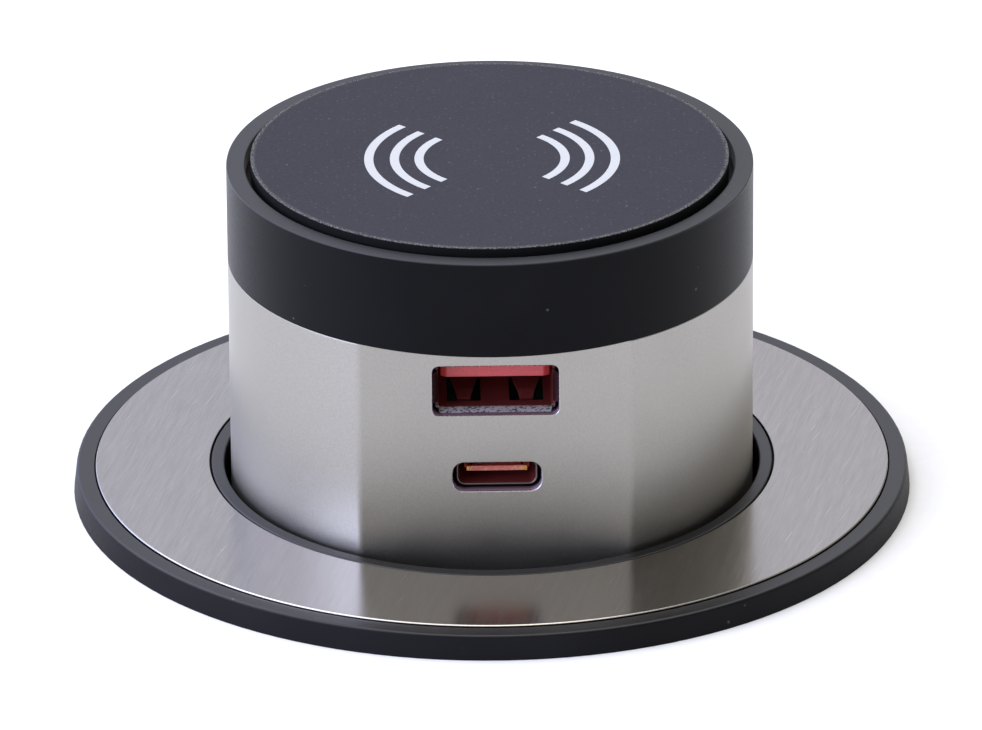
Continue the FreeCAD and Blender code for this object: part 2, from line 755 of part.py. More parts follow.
# Push latch: a track with a notched island, and the lever whose pin runs round it
lane = "lane_width / 2"
low_end = "latch_low - latch_pin_radius - free_gap"
island_foot = "latch_low + over_press + arm_rise + latch_pin_radius + notch_play"
track_lanes = padded("track_lanes", "YZ_Plane", [
    ("0 - lane_offset - " + lane, "1 - track_top"),
    ("0 - lane_offset - " + lane, low_end),
    ("lane_offset + " + lane, low_end),
    ("lane_offset + " + lane, "1 - track_top"),
], "0 - track_face - track_depth", "track_depth + 1")
track_island = padded("track_island", "YZ_Plane", [
    ("0 - lane_offset + " + lane, "0 - track_top - 5.2"),
    ("0 - lane_offset + " + lane, island_foot + " - 0.4"),
    ("0 - latch_pin_radius - 0.4", island_foot + " - 0.8"),
    ("0", island_foot),
    ("latch_pin_radius + 0.4", island_foot + " - 1"),
    ("lane_offset - " + lane, island_foot + " - 0.6"),
    ("lane_offset - " + lane, "0 - track_top - 6.4"),
    ("0 - lane_offset + " + lane + " + 0.5", "0 - track_top - 3.4"),
], "0 - track_face - track_depth - 0.5", "track_depth + 2")
node(carved("latch_track", fused("track_post", [
    block("track_plate", ("0 - track_back", "0 - track_half_width", "sleeve_foot"),
          ("0 - track_face", "track_half_width", "0 - track_top")),
    block("track_foot", ("0 - track_back", "0 - track_half_width", "sleeve_foot"),
          ("0 - track_face + 4.4", "track_half_width", "foot_top")),
]), [carved("track_groove", track_lanes, [track_island])]
    + foot_screws("track_foot_holes", track_screws_at, "seat_gap")))

lever_far = "0 - track_face + 0.6"
lever_near = lever_far + " + latch_thickness"
pivot_spot = ("0 - lane_offset", "pivot_height")
eye_radius = "pivot_radius + 1.3"
node(carved("latch_lever", fused("lever_blank", [
    rod("lever_eye", eye_radius, (lever_far,) + pivot_spot, "latch_thickness", "x"),
    block("lever_arm", (lever_far, "0 - lane_offset - 0.9", "latch_tip - 0.9"),
          (lever_near, "0 - lane_offset + 0.9", "pivot_height")),
    rod("lever_pin", "latch_pin_radius",
        ("0 - track_face - track_depth + free_gap", "0 - lane_offset", "latch_tip"),
        "track_depth - free_gap + 0.6 + latch_thickness", "x"),
]), [rod("lever_hole", "pivot_radius + seat_gap", (lever_far + " - 1",) + pivot_spot,
         "latch_thickness + 2", "x")]))
bracket_far = lever_near + " + free_gap"
bracket_near = bracket_far + " + wall_plate"
node(fused("latch_pivot", [
    rod("pivot_rod", "pivot_radius", (lever_far,) + pivot_spot,
        "latch_thickness + free_gap + wall_plate", "x"),
    rod("pivot_peen", "pivot_radius + 0.6", (lever_far + " - 0.35",) + pivot_spot, "0.3", "x"),
    rod("pivot_neck", "pivot_radius", (lever_far + " - 0.1",) + pivot_spot, "0.2", "x"),
    rod("pivot_head", "pivot_radius + 0.7", (bracket_near,) + pivot_spot, "0.8", "x"),
]))


# Lift spring: one wire wound as a helix between the cover and the carriage's cup
def tangent_arc(start, corner, end):
    # The arc from start to end that touches both lines through the corner.
    middle = (start + end) / 2
    cosine = start.distanceToPoint(middle) / start.distanceToPoint(corner)
    crown = middle + (corner - middle) * (cosine / (1 + cosine))
    return Part.Arc(start, crown, end).toShape()


def biarc(start, along, end, beyond):
    # Two tangent arcs from start to end, which leave and arrive along the given directions.
    span, lean = end - start, along + beyond
    square, half = lean.dot(lean) - 4, span.dot(lean)
    reach = (half - math.sqrt(half ** 2 - square * span.dot(span))) / square
    first, second = start + along * reach, end - beyond * reach
    meeting = (first + second) / 2
    return [tangent_arc(start, first, meeting), tangent_arc(meeting, second, end)]


def least_gap(edges, wire, apart):
    # Least clearance between stretches of a wound wire that lie that far apart along it.
    step = wire / 2
    points = Part.Wire(edges).discretize(Distance=step)
    skip = math.ceil(apart / step)
    return min((points[number] - other).Length
               for number in range(len(points) - skip)
               for other in points[number + skip:number + 3 * skip]) - 2 * wire


def coil_spring(radius, wire, low, high, count):
    pitch = (high - low - 2 * wire) / count
    slope = pitch / (2 * math.pi * radius)

    def spot(quarter):
        angle = quarter * math.pi / 2
        return FreeCAD.Vector(radius * math.cos(angle), radius * math.sin(angle),
                              low + wire + pitch * quarter / 4)

    def heading(quarter):
        angle = quarter * math.pi / 2
        return FreeCAD.Vector(-math.sin(angle), math.cos(angle), slope).normalize()

    edges = []
    for quarter in range(4 * count):
        edges += biarc(spot(quarter), heading(quarter), spot(quarter + 1), heading(quarter + 1))
    section = Part.Wire(Part.makeCircle(wire, spot(0), heading(0)))
    print("spring gap between turns", round(least_gap(edges, wire, math.pi * radius), 2))
    return Part.Wire(edges).makePipeShell([section], True, False)


node(computed("lift_spring", coil_spring(
    value("spring_radius"), value("spring_wire / 2"), value("sleeve_foot + seat_gap"),
    value("cup_roof - seat_gap"), int(value("spring_turns")))))

# Worktop clamp
node(ring("clamp_washer", "crest_radius + free_gap", "washer_radius", "washer_foot",
          "washer_top"))
nut_ring = ring("nut_ring", "crest_radius + free_gap", "nut_radius", "nut_foot", "nut_top")
lugs = []
for number in range(int(value("nut_lugs"))):
    x, y = polar("nut_radius", number * 360 / int(value("nut_lugs")))
    lugs.append(rod("nut_lug" + str(number), "nut_lug", (x, y, "nut_foot"), "nut_height"))
turn = value("thread_pitch")
half_tip = (turn - value("thread_root")) / 2 - value("running_gap")
half_base = half_tip + half_root - half_crest
nut_turns = math.floor((value("nut_height") - turn - 2 * half_base) / turn)
turns_up = math.ceil((value("nut_foot") + half_base - value("thread_start")) / turn)
nut_thread = computed("nut_thread", ridge(
    value("crest_radius + free_gap"), turn, turn * nut_turns,
    value("thread_start") + (turns_up + 0.5) * turn,
    [(thread_overlap, -half_base), (-value("thread_depth"), -half_tip),
     (-value("thread_depth"), half_tip), (thread_overlap, half_base)]))
node(threaded("clamp_nut", fused("nut_lugged", [nut_ring] + lugs), nut_thread))

# Tower tube with its facet and socket windows
tube_blank = flat_sided("tube_blank", "tower_radius", "facet_distance", "lip_top", "cap_foot")
doc.recompute()
facet_edges = [number for number, edge in enumerate(tube_blank.Shape.Edges, 1)
               if isinstance(edge.Curve, Part.Line)
               and abs(edge.Vertexes[0].Z - edge.Vertexes[-1].Z) > 1]
tube_rounded = doc.addObject("Part::Fillet", "tube_rounded")
tube_rounded.Base = tube_blank
tube_rounded.Edges = [(number, value("facet_edge"), value("facet_edge")) for number in facet_edges]
window_a = rounded_bar("window_a", "socket_offset", "usb_a_middle",
                       "usb_a_width + 2 * usb_a_window_side",
                       "usb_a_height + 2 * usb_a_window_rise", "usb_a_corner",
                       "0 - facet_distance - 1", "tower_wall + 2")
window_c = rounded_bar("window_c", "socket_offset", "usb_c_middle",
                       "usb_c_width + 2 * usb_c_window_side",
                       "usb_c_height + 2 * usb_c_window_rise",
                       "usb_c_corner + usb_c_window_rise",
                       "0 - facet_distance - 1", "tower_wall + 2")
node(carved("tower_shell", tube_rounded, [
    flat_sided("tube_bore", "shell_bore", "inner_facet", "lip_top - 1", "cap_foot + 1"),
    window_a, window_c]))


# Cap, pad and what hangs under them
def bosses(name, radius, angles, low, high):
    return [rod(name + str(number), radius, polar("bolt_circle", angle) + (low,),
                "(" + high + ") - (" + low + ")") for number, angle in enumerate(angles)]


tie_angles = (45, 135, 225, 315)
board_angles = (90, 210, 330)
spigot_foot = "cap_foot - spigot_height"
cap_turned = turned("cap_turned", [
    ("0", "recess_floor"),
    ("pad_radius + pad_gap", "recess_floor"),
    ("pad_radius + pad_gap", "cap_land"),
    ("tower_radius", "cap_land"),
    ("tower_radius", "cap_foot"),
    ("shell_bore", "cap_foot"),
    ("shell_bore", "cap_ceiling"),
    ("0", "cap_ceiling"),
])
softened(cap_turned, "cap_top_edge", "cap_edge", [("tower_radius", "cap_land")])
softened(cap_turned, "cap_inner_edge", "steel_edge", [("pad_radius + pad_gap", "cap_land")])
cap_rim = carved("cap_rim", fused("cap_rim_blank", [
    flat_sided("cap_spigot", "shell_bore - seat_gap", "inner_facet - seat_gap", spigot_foot,
               "cap_foot"),
    rod("cap_web", "shell_bore", ("0", "0", "cap_foot"), "spigot_wall"),
]), [flat_sided("cap_mouth", "shell_bore - spigot_wall", "inner_facet - spigot_wall",
                spigot_foot + " - 1", "cap_foot + spigot_wall + 1")])
node(carved("cap_shell", fused("cap_joined", [cap_turned, cap_rim]
            + bosses("tie_boss", "boss_radius", tie_angles, spigot_foot, "cap_ceiling")
            + bosses("board_boss", "small_screw + boss_wall", board_angles,
                     "carrier_foot + carrier_thickness", "cap_ceiling")),
            bosses("tie_boss_hole", "tie_screw + seat_gap", tie_angles, spigot_foot + " - 1",
                   "cap_ceiling - seat_gap")
            + bosses("board_boss_hole", "small_screw + seat_gap", board_angles,
                     "carrier_foot", "cap_ceiling - seat_gap")))
node(softened(turned("charging_pad", [
    ("0", "pad_foot"), ("pad_radius", "pad_foot"), ("pad_radius", "pad_top"), ("0", "pad_top"),
]), "pad_top_edge", "pad_edge", [("pad_radius", "pad_top")]))
node(rod("pad_adhesive", "pad_radius - 0.5", ("0", "0", "recess_floor"), "glue"))


def flat_coil(start, pitch, count, wire, level):
    # One layer of wire: half circles about two centres that swap, so it spirals out smoothly.
    edges = []
    for half in range(2 * count):
        side = 1 if half % 2 == 0 else -1
        radius = start + half * pitch / 2
        middle = 0 if half % 2 == 0 else -pitch / 2
        near = FreeCAD.Vector(middle + side * radius, 0, level)
        far = FreeCAD.Vector(middle - side * radius, 0, level)
        top = FreeCAD.Vector(middle, side * radius, level)
        edges.append(Part.Arc(near, top, far).toShape())
    section = Part.Wire(Part.makeCircle(wire, FreeCAD.Vector(start, 0, level),
                                        FreeCAD.Vector(0, 1, 0)))
    print("coil gap between turns", round(least_gap(edges, wire, math.pi * start), 2))
    return Part.Wire(edges).makePipeShell([section], True, False)


node(computed("coil_winding", flat_coil(
    value("coil_start"), value("coil_pitch"), int(value("coil_turns")), value("coil_wire"),
    value("coil_middle"))))
centre_hole = "coil_start - coil_wire - 0.6"
node(ring("ferrite_plate", centre_hole, "ferrite_radius", "ferrite_foot",
          "ferrite_foot + ferrite_thickness"))
board_flat = "inner_facet - spigot_wall - free_gap"
spacers = bosses("carrier_spacer", "small_screw + boss_wall", board_angles,
                 "charger_board_top", "carrier_foot")
node(carved("coil_carrier", fused("carrier_blank", [
    flat_sided("carrier_disc", "charger_board_radius", board_flat, "carrier_foot",
               "carrier_foot + carrier_thickness")] + spacers),
    bosses("carrier_notch", "boss_radius + free_gap", tie_angles, "carrier_foot - 1",
           "carrier_foot + carrier_thickness + 1")
    + bosses("carrier_hole", "small_screw + seat_gap", board_angles, "charger_board_level",
             "cap_ceiling")
    + [rod("carrier_centre", centre_hole, ("0", "0", "carrier_foot - 1"),
           "carrier_thickness + 2")]))
node(carved("charger_board", flat_sided(
    "charger_disc", "charger_board_radius", board_flat, "charger_board_level",
    "charger_board_top"),
    bosses("charger_notch", "boss_radius + free_gap", tie_angles, "charger_board_level - 1",
           "charger_board_top + 1")
    + bosses("charger_hole", "small_screw + seat_gap", board_angles, "charger_board_level - 1",
             "charger_board_top + 1")))
board_screw_length = "cap_ceiling - free_gap - charger_board_level"
node(grouped("board_screws", [
    screw("board_screw" + str(number), "small_screw", "small_head", "small_head_height",
          polar("bolt_circle", angle) + ("charger_board_level",), board_screw_length)
    for number, angle in enumerate(board_angles)]))
node(grouped("charger_chips", [
    block("charger_driver", ("3", "2", "charger_board_top"), ("9", "8", "charger_board_top + 1")),
    block("charger_logic", ("-9", "-12", "charger_board_top"),
          ("-2", "-5", "charger_board_top + 1")),
    block("charger_sense", ("4", "-8", "charger_board_top"),
          ("8", "-5", "charger_board_top + 1")),
]))
node(grouped("charger_capacitors", [
    block("charger_capacitor" + str(number),
          (str(-14 + 4 * number), "10", "charger_board_top"),
          (str(-11.5 + 4 * number), "13.2", "charger_board_top + 1.9"))
    for number in range(7)]))
lead_x = centre_hole + " - coil_wire - 0.2"
node(grouped("coil_leads", [
    rod("coil_lead_in", "coil_wire * 0.8", (lead_x, "0", "charger_board_top"),
        "coil_middle - charger_board_top", "z"),
    rod("coil_lead_out", "coil_wire * 0.8", ("0 - (" + lead_x + ")", "0", "charger_board_top"),
        "coil_middle - charger_board_top", "z"),
]))

# Carriage: closes the tower's foot and carries everything that hangs there
skirt = carved("carriage_skirt", flat_sided(
    "skirt_blank", "shell_bore - seat_gap", "inner_facet - seat_gap", "lip_top",
    "lip_top + skirt_height"), [flat_sided(
        "skirt_hollow", "shell_bore - seat_gap - skirt_wall",
        "inner_facet - seat_gap - skirt_wall", "lip_top - 1", "lip_top + skirt_height + 1")])
post_side = "port_board_half_width + wall_plate"


def board_post(name, side):
    low = side + " * (port_board_half_width - 1.4)"
    high = side + " * (" + post_side + ")"
    if side == "-1":
        low, high = high, low
    return block(name, (low, "board_front - wall_plate", "lip_top"),
                 (high, "board_back + wall_plate", "0 - port_board_foot + 10"))


carriage_blank = fused("carriage_blank", [
    rod("carriage_disc", "lip_radius", ("0", "0", "carriage_foot"), "carriage_plate"),
    skirt,
    rod("cup_outside", "cup_bore + cup_wall", ("0", "0", "lip_top"), "cup_height"),
    board_post("board_post_right", "1"),
    board_post("board_post_left", "-1"),
    block("latch_bracket", (bracket_far, "0 - lane_offset - 2.6", "lip_top"),
          (bracket_near, "0 - lane_offset + 2.6", "pivot_height + 2.4")),
    block("damper_wall", (damper_far, "pinion_line - damper_radius", "lip_top"),
          (damper_far + " + wall_plate", "pinion_line + damper_radius", damper_top)),
])
tower_base = node(carved("tower_base", carriage_blank, [
    rod("cup_inside", "cup_bore", ("0", "0", "carriage_foot - 1"),
        "cup_roof - carriage_foot + 1"),
    rod("gland_hole", "gland_radius + seat_gap", ("0", "0", "cup_roof - 1"), "cup_wall + 3"),
    block("rack_opening", ("0 - rack_half_width - free_gap", "rack_slot", "carriage_foot - 1"),
          ("rack_half_width + free_gap", "shell_bore", "lip_top + skirt_height + 1")),
    block("track_opening",
          ("0 - shell_bore", "0 - track_half_width - free_gap - 0.2", "carriage_foot - 1"),
          (lever_near + " + 0.2", "track_half_width + free_gap + 0.2",
           "lip_top + skirt_height + 1")),
    block("port_board_slot",
          ("0 - port_board_half_width - seat_gap", "board_front - seat_gap",
           "0 - port_board_foot - seat_gap"),
          ("port_board_half_width + seat_gap", "board_back + seat_gap", "0")),
    rod("latch_pivot_hole", "pivot_radius + seat_gap", (bracket_far + " - 1",) + pivot_spot,
        "wall_plate + 2", "x"),
]
    + bosses("tie_hole", "tie_screw + seat_gap", tie_angles, "carriage_foot - 1",
             "lip_top + skirt_height + 1")
    + bosses("tie_counterbore", "tie_head + seat_gap", tie_angles, "carriage_foot - 1",
             "carriage_foot + tie_head_height")
    + damper_screws("damper_wall_holes", "seat_gap")))
node(grouped("tie_screws", [
    screw("tie_screw" + str(number), "tie_screw", "tie_head", "tie_head_height",
          polar("bolt_circle", angle) + ("carriage_foot + tie_head_height",),
          "cap_ceiling - 1 - carriage_foot - tie_head_height")
    for number, angle in enumerate(tie_angles)]))
node(turned("lead_gland", [
    ("lead_bore", "cup_roof - 1.6"),
    ("gland_flange", "cup_roof - 1.6"),
    ("gland_flange", "cup_roof"),
    ("gland_radius", "cup_roof"),
    ("gland_radius", "cup_roof + gland_length"),
    ("lead_bore", "cup_roof + gland_length"),
]))
gland_hexagon = padded("gland_hexagon", "XY_Plane",
                       [polar("gland_flange", 60 * number) for number in range(6)],
                       "cup_top", "gland_nut_height")
node(carved("gland_nut", gland_hexagon, [
    rod("gland_nut_bore", "gland_radius + seat_gap", ("0", "0", "cup_top - 1"),
        "gland_nut_height + 2")]))

# Port board and its parts
node(block("port_board",
           ("0 - port_board_half_width", "board_front", "0 - port_board_foot"),
           ("port_board_half_width", "board_back", "port_board_top")))
node(grouped("port_chips", [
    block("port_controller", ("-7", "board_back", "8"), ("-1", "board_back + 1", "14")),
    block("port_regulator", ("3", "board_back", "12"), ("8", "board_back + 1.2", "17")),
    block("port_inductor", ("-15", "board_back", "6"), ("-9", "board_back + 3.4", "12")),
    block("port_inductor_two", ("9", "board_back", "0"), ("15", "board_back + 3.4", "6")),
]))
node(grouped("port_capacitors", [
    rod("port_capacitor" + str(number), "3.1", (str(x), "board_back", str(z)), "7.5", "y")
    for number, (x, z) in enumerate(((-13, 18), (13, 14), (1, 2)))]))
node(block("power_socket", ("-4", "board_back", "-8"), ("4", "board_back + 5.6", "-2.6")))
node(block("board_ribbon", ("-4", "board_back", "20"),
           ("2", "board_back + 0.3", "charger_board_level")))
node(grouped("ribbon_clips", [
    block("ribbon_clip_low", ("-5", "board_back + 0.3", "19"), ("3", "board_back + 2", "22")),
    block("ribbon_clip_high", ("-5", "board_back + 0.3", "charger_board_level - 1.2"),
          ("3", "board_back + 3.4", "charger_board_level")),
]))


# USB sockets: a metal shell, a tongue on a back block, and contacts on the tongue
def socket_shell(name, level, width, height, skin, corner, front, extra=()):
    outer = rounded_bar(name + "_outer", "socket_offset", level, width, height, corner, front,
                        "board_front - (" + front + ")")
    inner = rounded_bar(name + "_inner", "socket_offset", level,
                        width + " - 2 * " + skin, height + " - 2 * " + skin,
                        corner + " - " + skin, front + " - 1", "board_front - (" + front + ") + 2")
    return carved(name, outer, [inner] + list(extra))


finger_cuts = []
for side, middle in (("left", "socket_offset - 3.3"), ("right", "socket_offset + 3.3")):
    floor_low = "usb_a_middle - usb_a_height / 2 - 0.2"
    finger_root = "usb_a_front + 9"
    finger_tip = "usb_a_front + 1.9"
    opening = block("finger_opening_" + side,
                    (middle + " - 1.85", finger_tip + " - 0.5", floor_low),
                    (middle + " + 1.85", finger_root, floor_low + " + usb_a_skin + 0.4"))
    finger = padded("finger_" + side, "XY_Plane", [
        (middle + " - 0.75", finger_tip),
        (middle + " + 0.75", finger_tip),
        (middle + " + 1.3", finger_root + " + 1"),
        (middle + " - 1.3", finger_root + " + 1"),
    ], floor_low + " - 1", "usb_a_skin + 3")
    finger_cuts.append(carved("finger_slot_" + side, opening, [finger]))
node(socket_shell("usb_a_shell", "usb_a_middle", "usb_a_width", "usb_a_height", "usb_a_skin",
                  "usb_a_corner - 0.1", "usb_a_front", finger_cuts))
tongue_a_side = "usb_a_tongue_width / 2"
tongue_a_front = "usb_a_tongue_setback - facet_distance"
back_block = "board_front - 2"
node(fused("usb_a_tongue", [
    block("tongue_a_blade",
          ("socket_offset - " + tongue_a_side, tongue_a_front, "tongue_a_foot"),
          ("socket_offset + " + tongue_a_side, back_block, "tongue_a_top")),
    rounded_bar("tongue_a_block", "socket_offset", "usb_a_middle",
                "usb_a_width - 2 * usb_a_skin - 2 * seat_gap",
                "usb_a_height - 2 * usb_a_skin - 2 * seat_gap",
                "usb_a_corner - usb_a_skin", back_block, "2"),
]))
node(grouped("usb_a_contacts", [
    block("contact_a" + str(number),
          ("socket_offset + " + str(x - 0.5), tongue_a_front + " + 0.7",
           "tongue_a_foot - contact_proud"),
          ("socket_offset + " + str(x + 0.5), back_block, "tongue_a_foot"))
    for number, x in enumerate((-3.5, -1, 1, 3.5))]))

node(socket_shell("usb_c_shell", "usb_c_middle", "usb_c_width", "usb_c_height", "usb_c_skin",
                  "usb_c_corner", "usb_c_front"))
tongue_c_front = "usb_c_tongue_setback - facet_distance"
tongue_c_low = "usb_c_middle - usb_c_tongue_height / 2"
tongue_c_high = "usb_c_middle + usb_c_tongue_height / 2"
node(fused("usb_c_tongue", [
    block("tongue_c_blade",
          ("socket_offset - usb_c_tongue_width / 2", tongue_c_front, tongue_c_low),
          ("socket_offset + usb_c_tongue_width / 2", back_block, tongue_c_high)),
    rounded_bar("tongue_c_block", "socket_offset", "usb_c_middle",
                "usb_c_width - 2 * usb_c_skin - 2 * seat_gap",
                "usb_c_height - 2 * usb_c_skin - 2 * seat_gap",
                "usb_c_corner - usb_c_skin - seat_gap", back_block, "2"),
]))
node(grouped("usb_c_contacts", [
    block("contact_c" + side + str(number),
          ("socket_offset + " + str(number / 2 - 2.87), tongue_c_front + " + 0.5", low),
          ("socket_offset + " + str(number / 2 - 2.63), back_block, high))
    for side, low, high in (("low", tongue_c_low + " - contact_proud", tongue_c_low),
                            ("high", tongue_c_high, tongue_c_high + " + contact_proud"))
    for number in range(12)]))

# Every object must have been worked out before anything is written
doc.recompute()
broken = [thing.Name for thing in doc.Objects if {"Invalid", "Error"} & set(thing.State)]
if broken:
    raise RuntimeError("not worked out: " + ", ".join(broken))
os.makedirs("parts", exist_ok=True)
for piece in nodes:
    if piece.Shape.isNull() or not piece.Shape.isValid():
        raise RuntimeError(piece.Label + " has no valid shape")
    if not piece.Shape.Solids:
        raise RuntimeError(piece.Label + " holds no solid")
for piece in nodes:
    piece.Shape.exportStep(os.path.join("parts", piece.Label + ".step"))
print(len(nodes), "sub-parts written")
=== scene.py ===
import math

import bmesh
import bpy
import numpy as np
from mathutils import Matrix, Vector


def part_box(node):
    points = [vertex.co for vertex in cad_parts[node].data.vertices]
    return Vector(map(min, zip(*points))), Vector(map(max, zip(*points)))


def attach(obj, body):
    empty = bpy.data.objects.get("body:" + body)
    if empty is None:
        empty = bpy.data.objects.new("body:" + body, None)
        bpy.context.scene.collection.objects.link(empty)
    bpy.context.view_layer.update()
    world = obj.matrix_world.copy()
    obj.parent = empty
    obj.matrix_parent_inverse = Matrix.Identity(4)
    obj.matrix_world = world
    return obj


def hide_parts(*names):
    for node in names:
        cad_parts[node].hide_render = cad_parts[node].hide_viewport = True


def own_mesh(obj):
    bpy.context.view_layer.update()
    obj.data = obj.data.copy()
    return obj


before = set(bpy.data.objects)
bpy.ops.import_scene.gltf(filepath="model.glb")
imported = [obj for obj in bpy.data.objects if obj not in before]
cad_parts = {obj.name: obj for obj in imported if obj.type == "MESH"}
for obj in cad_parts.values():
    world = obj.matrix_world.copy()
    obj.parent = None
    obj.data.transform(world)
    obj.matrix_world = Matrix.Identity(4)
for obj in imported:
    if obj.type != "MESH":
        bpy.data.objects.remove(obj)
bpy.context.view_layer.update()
mm = 0.001
print("frame loaded:", len(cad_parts), "nodes")


# Shapes: every surface below is an array of points worked out from two parameters
def roundCorners(corners, closed=True, steps=5):
    # corners (u, v, radius) become arcs that touch both sides:
    # point = centre + (sin((1-k)w) start + sin(k w) end) / sin(w), w the angle turned
    spots = np.array(corners, float)
    flat, radius = spots[:, :2], np.maximum(spots[:, 2:], 1e-9)
    back = np.roll(flat, 1, 0) - flat
    ahead = np.roll(flat, -1, 0) - flat
    back /= np.linalg.norm(back, axis=1, keepdims=True)
    ahead /= np.linalg.norm(ahead, axis=1, keepdims=True)
    between = np.arccos(np.clip((back * ahead).sum(1, keepdims=True), -0.999999, 0.999999))
    middle = back + ahead
    middle /= np.linalg.norm(middle, axis=1, keepdims=True)
    centre = flat + middle * radius / np.sin(between / 2)
    reach = radius / np.tan(between / 2)
    start, end = flat + back * reach - centre, flat + ahead * reach - centre
    turned = (math.pi - between)[:, None]
    share = np.linspace(0, 1, steps + 1)[None, :, None]
    arcs = centre[:, None] + (np.sin((1 - share) * turned) * start[:, None]
                              + np.sin(share * turned) * end[:, None]) / np.sin(turned)
    if not closed:
        arcs[0], arcs[-1] = flat[0], flat[-1]
    line = arcs.reshape(-1, 2)
    step = np.linalg.norm(line - np.roll(line, 1, 0), axis=1)
    step[0] = step[0] if closed else 1
    return line[step > 1e-7]


def holdFlats(line, closed=True, hold=0.12 * mm):
    # a point near each end of every long side keeps the shading of its flat even:
    # start + hold (end - start) / length, and the same from the other end
    after = np.roll(line, -1, 0) if closed else line[1:]
    before = line if closed else line[:-1]
    side = after - before
    length = np.linalg.norm(side, axis=1, keepdims=True)
    near, far = before + side / length * hold, after - side / length * hold
    rows = np.stack([before, near, far], 1)
    wanted = np.stack([np.ones(len(side), bool)] + [length[:, 0] > 5 * hold] * 2, 1)
    return rows[wanted] if closed else np.vstack([rows[wanted], line[-1:]])


def gridFaces(rows, columns, closedRows, closedColumns):
    # quads between each row and the next, and each column and the next
    index = np.arange(rows * columns).reshape(rows, columns)
    if closedRows:
        index = np.vstack([index, index[:1]])
    if closedColumns:
        index = np.hstack([index, index[:, :1]])
    return np.stack([index[:-1, :-1], index[:-1, 1:], index[1:, 1:], index[1:, :-1]], -1).reshape(-1, 4)


def stackRings(rings):
    # rings of points, each joined to the next, with a face over the first and over the last
    count, sides = rings.shape[:2]
    ends = [list(range(sides)), list(range((count - 1) * sides, count * sides))]
    return rings, gridFaces(count, sides, False, True).tolist() + ends


def atLevel(outline, level):
    # an outline (x, y) as points (x, y, level)
    return np.column_stack([outline, np.full(len(outline), level)])


def prism(outline, low, high):
    # an outline (x, y) carried straight up: (x, y, low) to (x, y, high)
    return stackRings(np.array([atLevel(outline, level) for level in (low, high)]))


def bentStrip(path, middle, out, along):
    # sheet bent along a path (u, y), with a thickness t and half a width w at each point and n its normal:
    # middle + (u + s t nu) out +- w along, at depth y + s t ny, with s 0 on one face and 1 on the other
    u, depth, thick, half = np.array(path, float).T
    du, dy = np.gradient(u), np.gradient(depth)
    length = np.hypot(du, dy)
    sides = []
    for share, side in ((0, -1), (0, 1), (1, 1), (1, -1)):
        outwards = u - share * thick * dy / length
        backwards = depth + share * thick * du / length
        sides.append(np.stack([middle[0] + outwards * out[0] + side * half * along[0], backwards,
                               middle[1] + outwards * out[1] + side * half * along[1]], -1))
    return stackRings(np.stack(sides, 1))


def stackOutlines(window, rows):
    # a rounded rectangle (u, v) grown by an offset at each depth y: (x0 + u, y, z0 + v)
    width, height = window["size"]
    stack = []
    for grow, depth in rows:
        across, up, corner = width / 2 + grow, height / 2 + grow, window["corner"] + grow
        outline = roundCorners([(-across, -up, corner), (across, -up, corner), (across, up, corner),
                                (-across, up, corner)], steps=10)
        stack.append(np.stack([window["centre"][0] + outline[:, 0], depth + 0 * outline[:, 0],
                               window["centre"][1] + outline[:, 1]], -1))
    return np.array(stack)


def makeMesh(name, points, faces):
    # one mesh with its doubles merged, its slivers dropped and its faces turned outwards
    mesh = bpy.data.meshes.new(name)
    mesh.from_pydata(np.asarray(points, float).reshape(-1, 3).tolist(), [],
                     [list(face) for face in faces])
    shape = bmesh.new()
    shape.from_mesh(mesh)
    bmesh.ops.remove_doubles(shape, verts=shape.verts, dist=1e-7)
    bmesh.ops.dissolve_degenerate(shape, edges=shape.edges, dist=1e-8)
    bmesh.ops.recalc_face_normals(shape, faces=shape.faces)
    shape.to_mesh(mesh)
    shape.free()
    mesh.shade_smooth()
    return mesh


def joinMesh(name, parts):
    # several shapes in millimetres, each with its points and faces, as one mesh
    spots, corners = [], []
    for points, faces in parts:
        start = sum(len(part) for part in spots)
        corners += [[start + index for index in face] for face in faces]
        spots.append(np.asarray(points).reshape(-1, 3))
    return makeMesh(name, np.vstack(spots) * mm, corners)


def turn(name, profile, sides, closed=True):
    # surface of revolution: (r cos a, r sin a, z) along the profile (r, z)
    angle = np.linspace(0, 2 * math.pi, sides, endpoint=False)
    radius, level = profile[:, :1], profile[:, 1:]
    points = np.stack([radius * np.cos(angle), radius * np.sin(angle), level + 0 * angle], -1)
    return makeMesh(name, points, gridFaces(len(profile), sides, closed, True))


def carve(mesh, cutters=(), edge=0.0):
    # takes each cutter's mesh out of the mesh, rounds its edges and gives flat faces their own shading
    blank = bpy.data.objects.new("blank", mesh)
    bpy.context.scene.collection.objects.link(blank)
    tools = []
    for number, cutter in enumerate(cutters):
        tool = bpy.data.objects.new("cutter" + str(number), cutter)
        bpy.context.scene.collection.objects.link(tool)
        cut = blank.modifiers.new("cut", "BOOLEAN")
        cut.operation, cut.solver, cut.object = "DIFFERENCE", "EXACT", tool
        tools.append(tool)
    if edge:
        rounding = blank.modifiers.new("rounding", "BEVEL")
        rounding.width, rounding.segments, rounding.limit_method = edge, 2, "ANGLE"
    blank.data.set_sharp_from_angle(angle=math.radians(50))
    even = blank.modifiers.new("even", "WEIGHTED_NORMAL")
    even.keep_sharp, even.weight = True, 100
    graph = bpy.context.evaluated_depsgraph_get()
    result = bpy.data.meshes.new_from_object(blank.evaluated_get(graph))
    for tool in tools + [blank]:
        bpy.data.objects.remove(tool)
    return result


